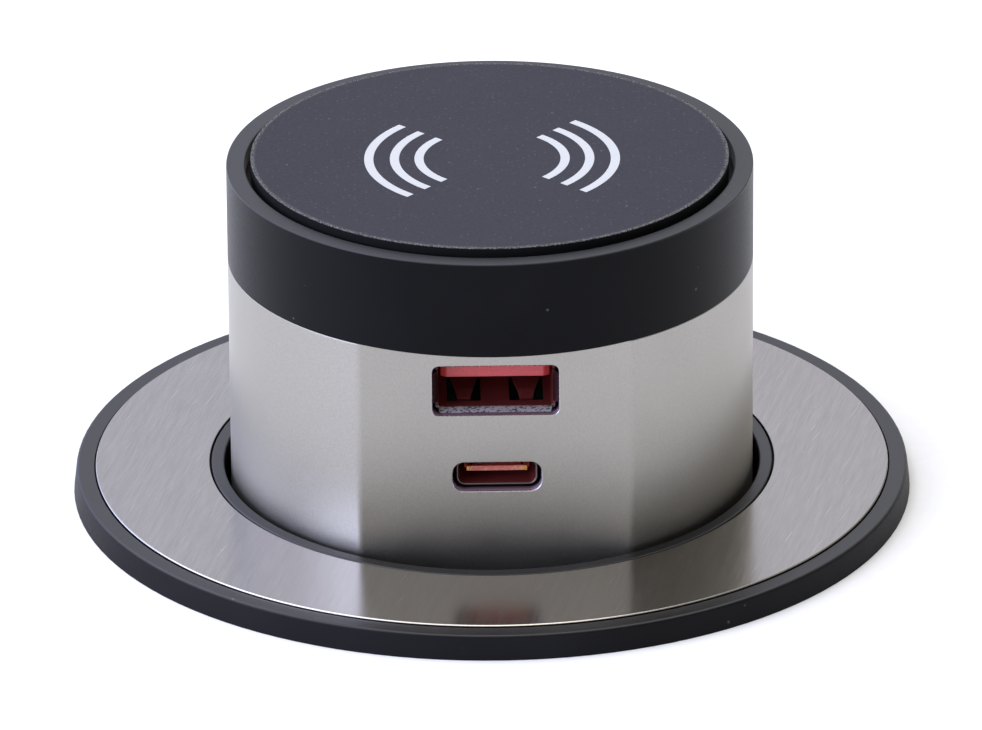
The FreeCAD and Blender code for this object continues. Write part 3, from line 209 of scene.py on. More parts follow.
def makePiece(name, mesh, body, slot, replaces=(), finish=None, sharp=50):
    # edges sharper than that angle get hard shading; without a finish of its own it takes its slot's
    piece = bpy.data.objects.new(name, mesh)
    bpy.context.scene.collection.objects.link(piece)
    if sharp:
        mesh.set_sharp_from_angle(angle=math.radians(sharp))
    mesh.materials.clear()
    mesh.materials.append(finish or finishes[slot])
    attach(piece, body)
    if replaces:
        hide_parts(*replaces)
    return piece


# Finishes: sums on node sockets are written as plain Python
class Wire:
    def __init__(self, finish, socket):
        self.finish, self.socket = finish, socket

    def __add__(self, other):
        return self.finish.sum("ADD", self, other)

    def __radd__(self, other):
        return self.finish.sum("ADD", other, self)

    def __sub__(self, other):
        return self.finish.sum("SUBTRACT", self, other)

    def __rsub__(self, other):
        return self.finish.sum("SUBTRACT", other, self)

    def __mul__(self, other):
        return self.finish.sum("MULTIPLY", self, other)

    def __rmul__(self, other):
        return self.finish.sum("MULTIPLY", other, self)

    def __pow__(self, other):
        return self.finish.sum("POWER", self, other)


class Nodes:
    # one node tree, whose nodes all come from node
    def __init__(self, tree):
        self.tree = tree

    def node(self, kind, settings=None, sockets=None, picked=None):
        # its settings are made first, and it gives its first output or the one that is picked by name
        made = self.tree.nodes.new("ShaderNode" + kind)
        for key, value in (settings or {}).items():
            setattr(made, key, value)
        for key, value in (sockets or {}).items():
            self.plug(made, key, value)
        shown = [s for s in made.outputs if s.enabled and picked in (None, s.name)]
        return Wire(self, shown[0])

    def plug(self, made, key, value):
        # a link or a plain value for one socket, by its number or its name
        socket = made.inputs[key] if isinstance(key, int) else \
            [s for s in made.inputs if s.enabled and s.name == key][0]
        if isinstance(value, Wire):
            self.tree.links.new(value.socket, socket)
        else:
            socket.default_value = value

    def sum(self, operation, first, second):
        return self.node("Math", {"operation": operation}, {0: first, 1: second})

    def split(self, vector):
        # x, y and z of a vector
        parts = self.node("SeparateXYZ", {}, {"Vector": vector}).socket.node
        return [Wire(self, parts.outputs[axis]) for axis in "XYZ"]

    def step(self, value, zero, one):
        # 0 at zero, 1 at one, smooth between them
        return self.node("MapRange", {"interpolation_type": "SMOOTHSTEP"},
                         {"Value": value, "From Min": zero, "From Max": one})

    def blendColor(self, share, first, second):
        return self.node("Mix", {"data_type": "RGBA"}, {"Factor": share, "A": first, "B": second})


class Finish(Nodes):
    # a material whose constant values go straight to the shader's own sockets
    def __init__(self, name, **constants):
        self.material = bpy.data.materials.new(name)
        self.material.use_nodes = True
        super().__init__(self.material.node_tree)
        self.shader = self.tree.nodes["Principled BSDF"]
        self.place = self.node("TexCoord", picked="Object")
        for socket, value in constants.items():
            self.shader.inputs[socket.replace("_", " ")].default_value = value

    def fade(self, value, span):
        # the smooth step between two lengths in millimetres
        return self.step(value, span[0] * mm, span[1] * mm)

    def noise(self, size, detail=2.0, place=None):
        return self.node("TexNoise", {}, {"Vector": place or self.place, "Scale": 1 / size,
                                          "Detail": detail}, "Fac")

    def specks(self, cell, spread, share):
        # dust: cells of that size, a share of them with one soft dot
        scattered = {"Vector": self.place, "Scale": 1 / cell}
        distance = self.node("TexVoronoi", {}, scattered, "Distance")
        tint = self.node("TexVoronoi", {}, scattered, "Color")
        chosen = self.node("SeparateColor", {}, {"Color": tint}, "Red")
        return self.step(distance, spread, spread * 0.4) * self.step(chosen, share, share * 0.9)

    def range(self, value, low, high):
        # a noise value, mostly 0.3 to 0.7, spread over low to high
        return self.node("MapRange", {}, {"Value": value, "From Min": 0.3, "From Max": 0.7,
                                          "To Min": low, "To Max": high})

    def grain(self, scale, detail, turn=(0, 0, 0)):
        # noise on coordinates that are turned and then scaled, for a grain with a direction
        turned = self.node("Mapping", {}, {"Vector": self.place, "Rotation": turn})
        return self.noise(1.0, detail, self.node("Mapping", {}, {"Vector": turned, "Scale": scale}))

    def bump(self, height, depth):
        return self.node("Bump", {}, {"Height": height, "Distance": depth, "Strength": 1.0})

    def use(self, **sockets):
        for key, value in sockets.items():
            self.tree.links.new(value.socket, self.shader.inputs[key.replace("_", " ")])
        return self.material


def shade(red, green, blue):
    # a colour as seen on a screen, 0 to 255, turned to light
    seen = np.array([red, green, blue]) / 255
    light = np.where(seen < 0.04045, seen / 12.92, ((seen + 0.055) / 1.055) ** 2.4)
    return (*light.tolist(), 1.0)


def softPadFinish():
    # soft-touch rubber: a fine grain with faint clouds, soft dust all over, more of it along the sharp edge,
    # there mixed with a painted edge highlight, and painted shade making the wall below that edge near black
    # the near-black tone is painted shade on the wall below the sharp edge; the pale edge tone is dust with a
    # painted edge highlight
    look = {"base": shade(45, 45, 52), "lighter": shade(58, 58, 65), "dust": shade(128, 128, 132),
            "wall": shade(9, 9, 10), "edgeDustAndHighlight": shade(150, 148, 140),
            "paintedShadeBelow": (39.49, 39.42), "edgeBeyond": (25.7, 26.2)}
    pad = Finish("softPad", Specular_IOR_Level=0.15)
    x, y, z = pad.split(pad.place)
    # painted shade: the wall below the sharp edge
    wall = pad.fade(z, look["paintedShadeBelow"])
    edge = pad.fade((x * x + y * y) ** 0.5, look["edgeBeyond"]) * (1 - wall)
    grain = pad.noise(0.28 * mm, 3)
    clouds = pad.noise(7 * mm, 3)
    crumbs = pad.noise(0.16 * mm, 1)
    soft = pad.specks(0.6 * mm, 0.24, 0.4)
    large = pad.specks(2.3 * mm, 0.075, 0.4)
    tone = pad.range(grain, 0, 0.6) + pad.range(clouds, 0, 0.35)
    base = pad.blendColor(tone, look["base"], look["lighter"])
    dusty = pad.blendColor(soft * 0.22 + large * 0.42, base, look["dust"])
    # dust and a painted highlight along the sharp edge
    dustedWithEdgeHighlight = pad.blendColor(edge * pad.step(crumbs, 0.46, 0.62) * 0.58, dusty, look["edgeDustAndHighlight"])
    return pad.use(Base_Color=pad.blendColor(wall, dustedWithEdgeHighlight, look["wall"]),
                   Roughness=pad.range(clouds, 0.62, 0.7),
                   Normal=pad.bump(grain + large * 0.5, 0.02 * mm))


def inkFinish():
    # white print: a faint grain in its tone and gloss
    ink = Finish("whiteInk", Specular_IOR_Level=0.4)
    grain = ink.noise(0.3 * mm, 2)
    tone = ink.blendColor(ink.range(grain, 0, 0.6), shade(195, 197, 199), shade(186, 188, 192))
    return ink.use(Base_Color=tone, Roughness=ink.range(grain, 0.4, 0.5))


def blackFinish(name, base, lighter, rough, level, grainSize=0.3 * mm, depth=0.006 * mm, glossAbove=None,
                gloss=0.0, sheen=0.0):
    # moulded black plastic: an even fine texture, a few specks of dust, and a smoother upper face
    look = {"base": shade(base, base, base + 2), "lighter": shade(lighter, lighter, lighter + 3),
            "dust": shade(120, 120, 124)}
    black = Finish(name, Specular_IOR_Level=level, Coat_Roughness=0.35, Sheen_Weight=sheen,
                   Sheen_Roughness=0.4)
    grain = black.noise(grainSize, 3)
    clouds = black.noise(12 * mm, 2)
    dust = black.specks(2.2 * mm, 0.07, 0.2) + black.specks(4.1 * mm, 0.06, 0.5) * 0.7
    tone = black.blendColor(black.range(clouds, 0, 1), look["base"], look["lighter"])
    if glossAbove:
        height = black.split(black.place)[2]
        black.use(Coat_Weight=black.fade(height, glossAbove) * gloss)
    return black.use(Base_Color=black.blendColor(dust * 0.4, tone, look["dust"]),
                     Roughness=black.range(grain, rough - 0.04, rough + 0.04),
                     Normal=black.bump(grain, depth))


# the flat on the tower's front and its two windows, in millimetres
facet = {"distance": 24.9, "chamfer": 0.14, "cutterAhead": 0.5, "cutterPast": 1.0}
windows = {"usb_a": {"centre": (0.07, 22.1), "size": (13.7, 5.78), "corner": 0.7},
           "usb_c": {"centre": (0.19, 11.85), "size": (9.6, 3.36), "corner": 1.19}}


def silverFinish():
    # bead-blasted and anodised: a fine speckle with soft clouds, bright on the cut chamfers of the windows
    # and dull violet on their walls
    look = {"base": shade(160, 157, 150), "lighter": shade(170, 167, 160), "cut": shade(182, 180, 182),
            "wall": shade(150, 126, 146), "margin": 0.3, "soft": 0.02, "outside": (-22, -22.5)}
    tube = Finish("silverTube")
    speckle = tube.noise(0.22 * mm, 2)
    clouds = tube.noise(6 * mm, 2)
    x, depth, z = tube.split(tube.place)
    near = 0
    for window in windows.values():
        inside = []
        for axis, middle, side in zip((x, z), window["centre"], window["size"]):
            away = tube.node("Math", {"operation": "ABSOLUTE"}, {0: axis - middle * mm})
            reach = side / 2 * mm + look["margin"] * mm
            inside.append(tube.step(away, reach, reach - look["soft"] * mm))
        near = near + inside[0] * inside[1]
    face, cut = -facet["distance"] * mm, facet["chamfer"] * mm
    front = near * tube.fade(depth, look["outside"])
    chamfer = front * tube.step(depth, face + look["soft"] / 2 * mm, face + look["soft"] * mm)
    wall = front * tube.step(depth, face + cut * 0.95, face + cut * 1.05)
    tone = tube.blendColor(tube.range(speckle, 0, 1), look["base"], look["lighter"])
    trimmed = tube.blendColor(chamfer, tone, look["cut"])
    rough = tube.range(speckle, 0.37, 0.43) + tube.range(clouds, 0, 0.03)
    return tube.use(Base_Color=tube.blendColor(wall, trimmed, look["wall"]),
                    Metallic=1 - wall * 0.65,
                    Roughness=rough - (chamfer - wall) * 0.15 + wall * 0.15,
                    Normal=tube.bump(speckle, 0.004 * mm))


def brushedFinish():
    # steel brushed in straight lines, near enough along the view from the front, with a few fine scratches
    look = {"base": shade(187, 182, 176), "lighter": shade(202, 198, 192), "scratch": shade(232, 230, 230),
            "lie": (0, 0, math.radians(-77)), "scratchLie": (0, 0, math.radians(-70))}
    steel = Finish("brushedSteel", Metallic=1.0)
    fine = steel.grain((260, 9000, 1), 3, look["lie"])
    broad = steel.grain((90, 1700, 1), 2, look["lie"])
    deep = steel.step(steel.grain((140, 5200, 1), 1, look["scratchLie"]), 0.7, 0.76)
    dust = steel.specks(3.4 * mm, 0.04, 0.4)
    tone = steel.range(fine, 0, 0.65) + steel.range(broad, 0, 0.35)
    lined = steel.blendColor(tone, look["base"], look["lighter"])
    return steel.use(Base_Color=steel.blendColor(deep * 0.5 + dust * 0.6, lined, look["scratch"]),
                     Roughness=steel.range(broad, 0.15, 0.19) + steel.range(fine, 0, 0.05),
                     Normal=steel.bump(fine + broad * 0.4, 0.0016 * mm))


def stampedFinish():
    # a socket's shell: silver and scratched at its foot lip, dull at the lower socket's rim, and inside a
    # dull red that is a painted reflection of the red moulding, with painted shade darkening the side lips;
    # depths and heights in millimetres
    # the inside tone is a painted reflection of the red moulding; the sides tone is painted shade, tinted by
    # that painted red reflection
    look = {"lip": shade(190, 190, 192), "scratch": shade(84, 80, 86), "rim": shade(108, 98, 96),
            "inside": shade(128, 58, 55), "sides": shade(52, 22, 24),
            "lipAhead": (-23.0, -23.25), "lipBelow": (19.75, 19.6), "lipAbove": (17, 18),
            "rimAhead": (-23.35, -23.5), "rimBelow": (16, 15),
            "paintedShadeSidesAhead": (-23.15, -23.25), "paintedShadeSidesAbove": (19.75, 19.9)}
    shell = Finish("stampedShell")
    depth, z = shell.split(shell.place)[1:]
    lip = shell.fade(depth, look["lipAhead"]) * shell.fade(z, look["lipBelow"]) \
        * shell.fade(z, look["lipAbove"])
    rim = shell.fade(depth, look["rimAhead"]) * shell.fade(z, look["rimBelow"])
    # painted shade: the mask of the side lips
    sides = shell.fade(depth, look["paintedShadeSidesAhead"]) * shell.fade(z, look["paintedShadeSidesAbove"])
    grain = shell.noise(0.12 * mm, 2)
    scratches = shell.grain((2000, 4600, 4600), 3, (0, 0.6, 0))
    worn = shell.blendColor(shell.step(scratches, 0.52, 0.58), look["lip"], look["scratch"])
    # painted red reflection inside, the rim's own dull tone, and painted shade on the side lips
    rimWithPaintedReflectionAndShade = shell.blendColor(sides, shell.blendColor(rim, look["inside"], look["rim"]), look["sides"])
    return shell.use(Base_Color=shell.blendColor(lip, rimWithPaintedReflectionAndShade, worn),
                     Metallic=0.35 + rim * 0.55, Roughness=shell.range(grain, 0.3, 0.38) + lip * 0.15,
                     Normal=shell.bump(grain + scratches * lip, 0.003 * mm))


def mouldedTongueFinish(name, base, nose, noseDepth, glint=None):
    # red moulding, paler where light comes in at its front edge, and there flecked with the contacts' gold
    tongue = Finish(name, Specular_IOR_Level=0.4)
    depth = tongue.split(tongue.place)[1]
    grain = tongue.noise(0.25 * mm, 3)
    pale = tongue.fade(depth, (noseDepth + 0.12, noseDepth + 0.02))
    front = shade(*nose)
    if glint:
        flecks = tongue.grain((2800, 900, 2000), 2)
        front = tongue.blendColor(tongue.step(flecks, 0.5, 0.62), front, shade(*glint))
    tone = tongue.blendColor(pale, shade(*base), front)
    return tongue.use(Base_Color=tongue.blendColor(tongue.range(grain, 0, 0.25), tone, shade(120, 60, 40)),
                      Roughness=tongue.range(grain, 0.4, 0.5),
                      Normal=tongue.bump(grain, 0.006 * mm))


def plainFinish(name, base, rough, metallic=0.0, grainSize=0.5 * mm, depth=0.01 * mm, change=0.12):
    # hidden pieces: their tone and a fine grain of the right size
    plain = Finish(name, Metallic=metallic)
    grain = plain.noise(grainSize, 3)
    darker = tuple(channel * (1 - change) for channel in shade(*base)[:3]) + (1.0,)
    return plain.use(Base_Color=plain.blendColor(plain.range(grain, 0, 1), shade(*base), darker),
                     Roughness=plain.range(grain, rough - 0.05, rough + 0.05),
                     Normal=plain.bump(grain, depth))


finishes = {
    "soft_pad": softPadFinish(),
    "black_cap": blackFinish("capBlack", 11, 14, 0.42, 0.06, glossAbove=(38.55, 38.7), gloss=0.75,
                             sheen=0.12),
    "black_moulding": blackFinish("mouldedBlack", 15, 20, 0.5, 0.1, glossAbove=(2.55, 2.8), gloss=0.85),
    "nut_moulding": blackFinish("nutBlack", 38, 46, 0.55, 0.4, 0.7 * mm, 0.02 * mm),
    "damper_moulding": blackFinish("damperGrey", 78, 86, 0.5, 0.4),
    "silver_tube": silverFinish(),
    "brushed_trim": brushedFinish(),
    "seal_rubber": plainFinish("sealRubber", (38, 38, 40), 0.8),
    "film": plainFinish("adhesiveFilm", (222, 216, 198), 0.6),
    "white_acetal": plainFinish("acetal", (232, 230, 222), 0.35, change=0.05),
    "spring_steel": plainFinish("springSteel", (176, 178, 184), 0.28, 1.0, 0.2 * mm, 0.003 * mm),
    "screw_steel": plainFinish("screwSteel", (196, 198, 204), 0.25, 1.0, 0.4 * mm, 0.003 * mm),
    "copper": plainFinish("copperWire", (206, 118, 66), 0.3, 1.0, 0.3 * mm, 0.003 * mm),
    "ferrite": plainFinish("ferrite", (62, 62, 66), 0.7),
    "board_green": plainFinish("boardGreen", (22, 98, 58), 0.35, change=0.3, grainSize=1.2 * mm),
    "chip_black": plainFinish("chipEpoxy", (36, 36, 38), 0.5, grainSize=0.2 * mm),
    "capacitor": plainFinish("capacitorCan", (190, 192, 196), 0.35, 1.0),
    "connector": plainFinish("nylon", (228, 222, 200), 0.5),
    "ribbon": plainFinish("ribbonFilm", (206, 124, 46), 0.4),
    "socket_metal": stampedFinish(),
    "tongue_red": mouldedTongueFinish("redMoulding", (196, 58, 58), (206, 84, 88), -21.8),
    "gold": plainFinish("goldPlate", (232, 176, 92), 0.2, 1.0, 0.2 * mm, 0.002 * mm),
}
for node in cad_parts.values():
    for holder in node.material_slots:
        holder.material = finishes[holder.material.name]
print("finishes:", len(finishes))

# Charging pad: a thin disc with the charging sign printed on it
pad = {"edge": 0.06, "footEdge": 0.15, "sides": 360}


def makePad():
    # half a section of the disc, its two edges rounded, turned about the axis
    low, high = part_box("charging_pad")
    corners = [(0, low.z, 0), (high.x, low.z, pad["footEdge"] * mm),
               (high.x, high.z, pad["edge"] * mm), (0, high.z, 0)]
    disc = turn("padDisc", holdFlats(roundCorners(corners, False, 8), False), pad["sides"], False)
    makePiece("padDisc", disc, "tower", "soft_pad", ["charging_pad"])


sign = {"middle": (0.24, -1.28), "turn": 1.9, "apart": -0.28, "radii": (14.33, 11.51, 8.81), "stroke": 1.01,
        "halfAngle": 45.5, "proud": 0.015, "sunk": 0.02, "steps": 48}


def makeSign():
    # a bent strip: rings of four corners (r, z) carried along an arc a: (s (c + r cos a), r sin a, z),
    # and the whole sign turned a little about its middle, as it is printed
    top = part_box("charging_pad")[1].z
    ink, lean = inkFinish(), math.radians(sign["turn"])
    middle = [spot * mm for spot in sign["middle"]]
    angle = np.radians(np.linspace(-sign["halfAngle"], sign["halfAngle"], sign["steps"]))[:, None]
    level = top + np.array([-sign["sunk"]] * 2 + [sign["proud"]] * 2) * mm
    for side, label in ((-1, "left"), (1, "right")):
        for number, outer in enumerate(sign["radii"]):
            inner = outer - sign["stroke"]
            radius = np.array([inner, outer, outer, inner]) * mm
            across, along = side * (sign["apart"] * mm + radius * np.cos(angle)), radius * np.sin(angle)
            rings = np.stack([middle[0] + across * math.cos(lean) - along * math.sin(lean),
                              middle[1] + across * math.sin(lean) + along * math.cos(lean),
                              level + 0 * angle], -1)
            name = "chargingSign_" + label + str(number + 1)
            makePiece(name, makeMesh(name, *stackRings(rings)), "tower", "soft_pad", finish=ink, sharp=30)


makePad()
makeSign()
print("charging pad and sign")

# Cap: the moulded cap with its top edge drawn in to a crisp one
cap = {"round": 0.55, "edge": 0.14, "margin": 0.002}


def makeCap():
    # the solid's own surface, welded; on the top edge's round the distance from the corner (r, z) is
    # scaled by edge / round, and every corner keeps its normal
    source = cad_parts["cap_shell"].data
    spots, normals = np.empty(len(source.vertices) * 3), np.empty(len(source.loops) * 3)
    corners = np.empty(len(source.loops), int)
    source.vertices.foreach_get("co", spots)
    source.corner_normals.foreach_get("vector", normals)
    source.loops.foreach_get("vertex_index", corners)
    spots = spots.reshape(-1, 3)
    _, first, index = np.unique(np.round(spots, 7), axis=0, return_index=True, return_inverse=True)
    spots, faces = spots[first], index.ravel()[corners].reshape(-1, 3)
    whole = (faces != np.roll(faces, 1, 1)).all(1)
    reach = np.hypot(spots[:, 0], spots[:, 1])
    outer, top, size = reach.max(), spots[:, 2].max(), (cap["round"] + cap["margin"]) * mm
    edge = (reach > outer - size) & (spots[:, 2] > top - size)
    share = cap["edge"] / cap["round"]
    drawn = outer - (outer - reach[edge]) * share
    spots[edge, :2] *= (drawn / reach[edge])[:, None]
    spots[edge, 2] = top - (top - spots[edge, 2]) * share
    mesh = bpy.data.meshes.new("capShell")
    mesh.from_pydata(spots.tolist(), [], faces[whole].tolist())
    mesh.shade_smooth()
    mesh.normals_split_custom_set(normals.reshape(-1, 3, 3)[whole].reshape(-1, 3).tolist())
    makePiece("capShell", mesh, "tower", "black_cap", ["cap_shell"], sharp=0)


makeCap()
print("cap")

# Lift spring: one wire wound as a helix, built at one length, though the real spring shortens as the tower
# goes down
spring = {"radius": 10.6, "wire": 0.6, "turns": 8, "stepsPerTurn": 56, "sides": 14, "travel": 37.22}


def makeSpring():
    # tube of radius w about the helix (R cos a, R sin a, z):
    # centre + w (cos b outwards + sin b up the helix's side)
    low, high = (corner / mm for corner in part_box("lift_spring"))
    wire, radius, turns = spring["wire"], spring["radius"], spring["turns"]
    middle = (low + high) / 2
    length = high.z - low.z
    steps = turns * spring["stepsPerTurn"] + 1
    angle = np.linspace(0, 2 * math.pi * turns, steps)[:, None]
    level = np.linspace(low.z + wire, high.z - wire, steps)[:, None]
    lean = math.atan2(length - 2 * wire, 2 * math.pi * turns * radius)
    around = np.linspace(0, 2 * math.pi, spring["sides"], endpoint=False)[None, :]
    out, up = wire * np.cos(around), wire * np.sin(around)
    across = radius + out
    rings = np.stack([middle.x + across * np.cos(angle) + up * math.sin(lean) * np.sin(angle),
                      middle.y + across * np.sin(angle) - up * math.sin(lean) * np.cos(angle),
                      level + up * math.cos(lean)], -1)
    mesh = joinMesh("liftSpring", [stackRings(rings)])
    coil = makePiece("liftSpring", mesh, "housing", "spring_steel", ["lift_spring"])
    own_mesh(coil)


makeSpring()
print("lift spring")

# Tower: a tube with one flat, its edges rounded, and two windows with a fine chamfer
tower = {"radius": 29.0, "wall": 1.8, "facetEdge": 1.8, "innerEdge": 0.6, "endEdge": 0.12, "roundSteps": 300,
         "edgeSteps": 12}


def towerOutline(inset):
    # an arc of the tube, a small arc onto the flat, the flat, and a small arc back:
    # point = centre + radius (cos a, sin a), the small arcs' centres (+-c, edge - flat)
    radius, flat = tower["radius"] - inset, facet["distance"] - inset
    edge = tower["facetEdge"] + (tower["innerEdge"] - tower["facetEdge"]) * inset / tower["wall"]
    aside = math.sqrt((radius - edge) ** 2 - (flat - edge) ** 2)
    start = math.atan2(edge - flat, aside)
    back = np.linspace(start, math.pi - start, tower["roundSteps"])[1:-1]
    left = np.linspace(math.pi - start, 1.5 * math.pi, tower["edgeSteps"])
    right = np.linspace(-0.5 * math.pi, start, tower["edgeSteps"])
    angle = np.concatenate([back, left, right])
    small = np.concatenate([0 * back, 0 * left - 1, 0 * right + 1])
    reach = np.where(small == 0, radius, edge)
    return np.stack([small * aside + reach * np.cos(angle),
                     abs(small) * (edge - flat) + reach * np.sin(angle)], -1)


def windowCutter(window):
    # rows (offset, depth): the chamfer, wider towards the front, and then the straight hole
    face, cut = -facet["distance"], facet["chamfer"]
    ahead, past = facet["cutterAhead"], facet["cutterPast"]
    rings = stackOutlines(window, ((cut + ahead, face - ahead), (cut, face), (0, face + cut),
                                   (0, face + tower["wall"] + past)))
    return joinMesh("window", [stackRings(rings)])


def makeTower():
    # the outline (x, y) at each inset of the wall's section (inset, z), its four edges rounded: (x, y, z)
    low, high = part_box("tower_shell")
    foot, top, wall, edge = low.z / mm, high.z / mm, tower["wall"], tower["endEdge"]
    section = roundCorners([(0, foot, edge), (0, top, edge), (wall, top, edge), (wall, foot, edge)], steps=3)
    rings = np.array([atLevel(towerOutline(inset), level) for inset, level in holdFlats(section, hold=0.1)])
    tube = joinMesh("towerTube", [(rings, gridFaces(*rings.shape[:2], True, True))])
    tube = carve(tube, [windowCutter(window) for window in windows.values()])
    makePiece("towerTube", tube, "tower", "silver_tube", ["tower_shell"], sharp=0)


makeTower()
print("tower tube")

# Sockets: stamped shells, moulded tongues and gilt contacts behind the windows
# Strips are bent along rows (out from the middle, depth, thickness, half width)
usbA = {"centre": windows["usb_a"]["centre"], "size": (13.1, 5.7), "corner": 0.6,
        "sheet": 0.3, "front": -23.2,
        "footLip": [(2.55, -23.19, 0.3, 6.15), (2.56, -23.3, 0.3, 6.15), (2.62, -23.55, 0.26, 6.15),
                    (2.73, -23.85, 0.16, 6.1), (2.84, -24.08, 0.09, 6.0), (2.87, -24.12, 0.04, 5.95)],
        "sideLip": [(6.25, -23.19, 0.3, 1.85), (6.26, -23.3, 0.3, 1.85), (6.36, -23.55, 0.26, 1.85),
                    (6.58, -23.85, 0.16, 1.8), (6.76, -24.08, 0.09, 1.7), (6.8, -24.12, 0.04, 1.65)],
        "finger": [(2.6, -15.2, 0.25, 1.55), (2.35, -17.2, 0.25, 1.32), (2.1, -19.2, 0.25, 1.02),
                   (2.06, -19.5, 0.25, 0.98), (2.1, -19.75, 0.25, 0.94), (2.5, -21.05, 0.25, 0.72),
                   (2.56, -21.2, 0.2, 0.6)],
        "fingerAside": 3.4,
        "slot": {"half": 1.85, "front": -21.7, "back": -15.25, "corner": 0.25, "past": 0.2},
        "tongue": {"half": 5.95, "front": -21.8, "cut": 0.7, "slope": 0.35, "corner": 0.2, "backCorner": 0.05,
                   "low": 22.46, "high": 24.5, "edge": 0.1},
        "contacts": (-3.5, -1, 1, 3.5),
        "contact": [(-0.31, -15.5, 0.15, 0.5), (-0.31, -18.6, 0.15, 0.5), (-0.05, -19.6, 0.15, 0.5),
                    (-0.31, -20.9, 0.15, 0.4)]}
# The lower tongue's side goes back from the nose in rows (half width, from the nose, corner)
usbC = {"centre": windows["usb_c"]["centre"], "size": (8.94, 3.16), "corner": 1.05,
        "sheet": 0.28, "front": -23.6, "rimBack": 1, "rimSteps": 9,
        "tongue": {"front": -22.7, "side": [(3.35, 0, 0.15), (3.35, 0.75, 0.1), (3.55, 1.0, 0.1)],
                   "backCorner": 0.02, "low": 11.64, "high": 12.2, "edge": 0.08},
        "contacts": [number / 2 - 2.75 for number in range(12)], "contactHalf": 0.12, "proud": 0.03,
        "outerFrom": 0.15, "innerFrom": 0.95,
        "plate": {"in": 0.42, "out": 0.02, "proud": 0.015, "length": 0.7, "corner": 0.05, "noseCorner": 0.12,
                  "above": 0.06, "below": 0.04}}
block = {"gap": 0.05, "depth": 2, "tongueIn": 1.5}


def makeShell(name, socket, rows, node, cutters=()):
    # rows go round the sheet's section, so the first and the last row join at the back
    rings = stackOutlines(socket, rows)
    sheet = joinMesh(name, [(rings, gridFaces(*rings.shape[:2], True, True))])
    makePiece(name, carve(sheet, cutters), "tower", "socket_metal", [node], sharp=0)


def makeTongue(name, socket, corners, back, node, finish=None):
    # the tongue's outline carried up through its thickness, and behind it the block that fills the shell
    tongue, grow = socket["tongue"], -socket["sheet"] - block["gap"]
    filler = stackRings(stackOutlines(socket, ((grow, back - block["depth"]), (grow, back))))
    blade = joinMesh(name, [prism(roundCorners(corners), tongue["low"], tongue["high"]), filler])
    blade = carve(blade, edge=tongue["edge"] * mm)
    makePiece(name, blade, "tower", "tongue_red", [node], finish, sharp=0)


def makeUsbA():
    # the sheet's section with a slot for each spring finger, the bent lips and fingers, and the tongue
    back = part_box("usb_a_shell")[1].y / mm
    (x, z), sheet, front, slot = usbA["centre"], usbA["sheet"], usbA["front"], usbA["slot"]
    under = z - usbA["size"][1] / 2 - slot["past"]
    cutters, lips = [], [bentStrip(usbA["footLip"], (x, z), (0, -1), (1, 0))]
    for side in (-1, 1):
        lips.append(bentStrip(usbA["sideLip"], (x, z), (side, 0), (0, side)))
        middle = x + side * usbA["fingerAside"]
        left, right = middle - slot["half"], middle + slot["half"]
        corners = [(left, slot["front"], slot["corner"]), (right, slot["front"], slot["corner"]),
                   (right, slot["back"], slot["corner"]), (left, slot["back"], slot["corner"])]
        hole = prism(roundCorners(corners), under, under + sheet + 2 * slot["past"])
        cutters.append(joinMesh("slot", [hole]))
        lips.append(bentStrip(usbA["finger"], (middle, z), (0, -1), (1, 0)))
    rows = ((0, back), (0, front), (-sheet, front), (-sheet, back))
    makeShell("usbAShell", usbA, rows, "usb_a_shell", cutters)
    makePiece("usbAShellLips", joinMesh("usbAShellLips", lips), "tower", "socket_metal", sharp=40)

    tongue = usbA["tongue"]
    half, nose, corner, rear = tongue["half"], tongue["front"], tongue["corner"], back - block["tongueIn"]
    flank = [(half - tongue["cut"], nose, corner), (half, nose + tongue["slope"], corner),
             (half, rear, tongue["backCorner"])]
    corners = [(x - u, y, r) for u, y, r in flank[::-1]] + [(x + u, y, r) for u, y, r in flank]
    makeTongue("usbATongue", usbA, corners, back, "usb_a_tongue")
    strips = [bentStrip(usbA["contact"], (x + aside, z), (0, -1), (1, 0)) for aside in usbA["contacts"]]
    makePiece("usbAContacts", joinMesh("usbAContacts", strips), "tower", "gold", ["usb_a_contacts"], sharp=40)


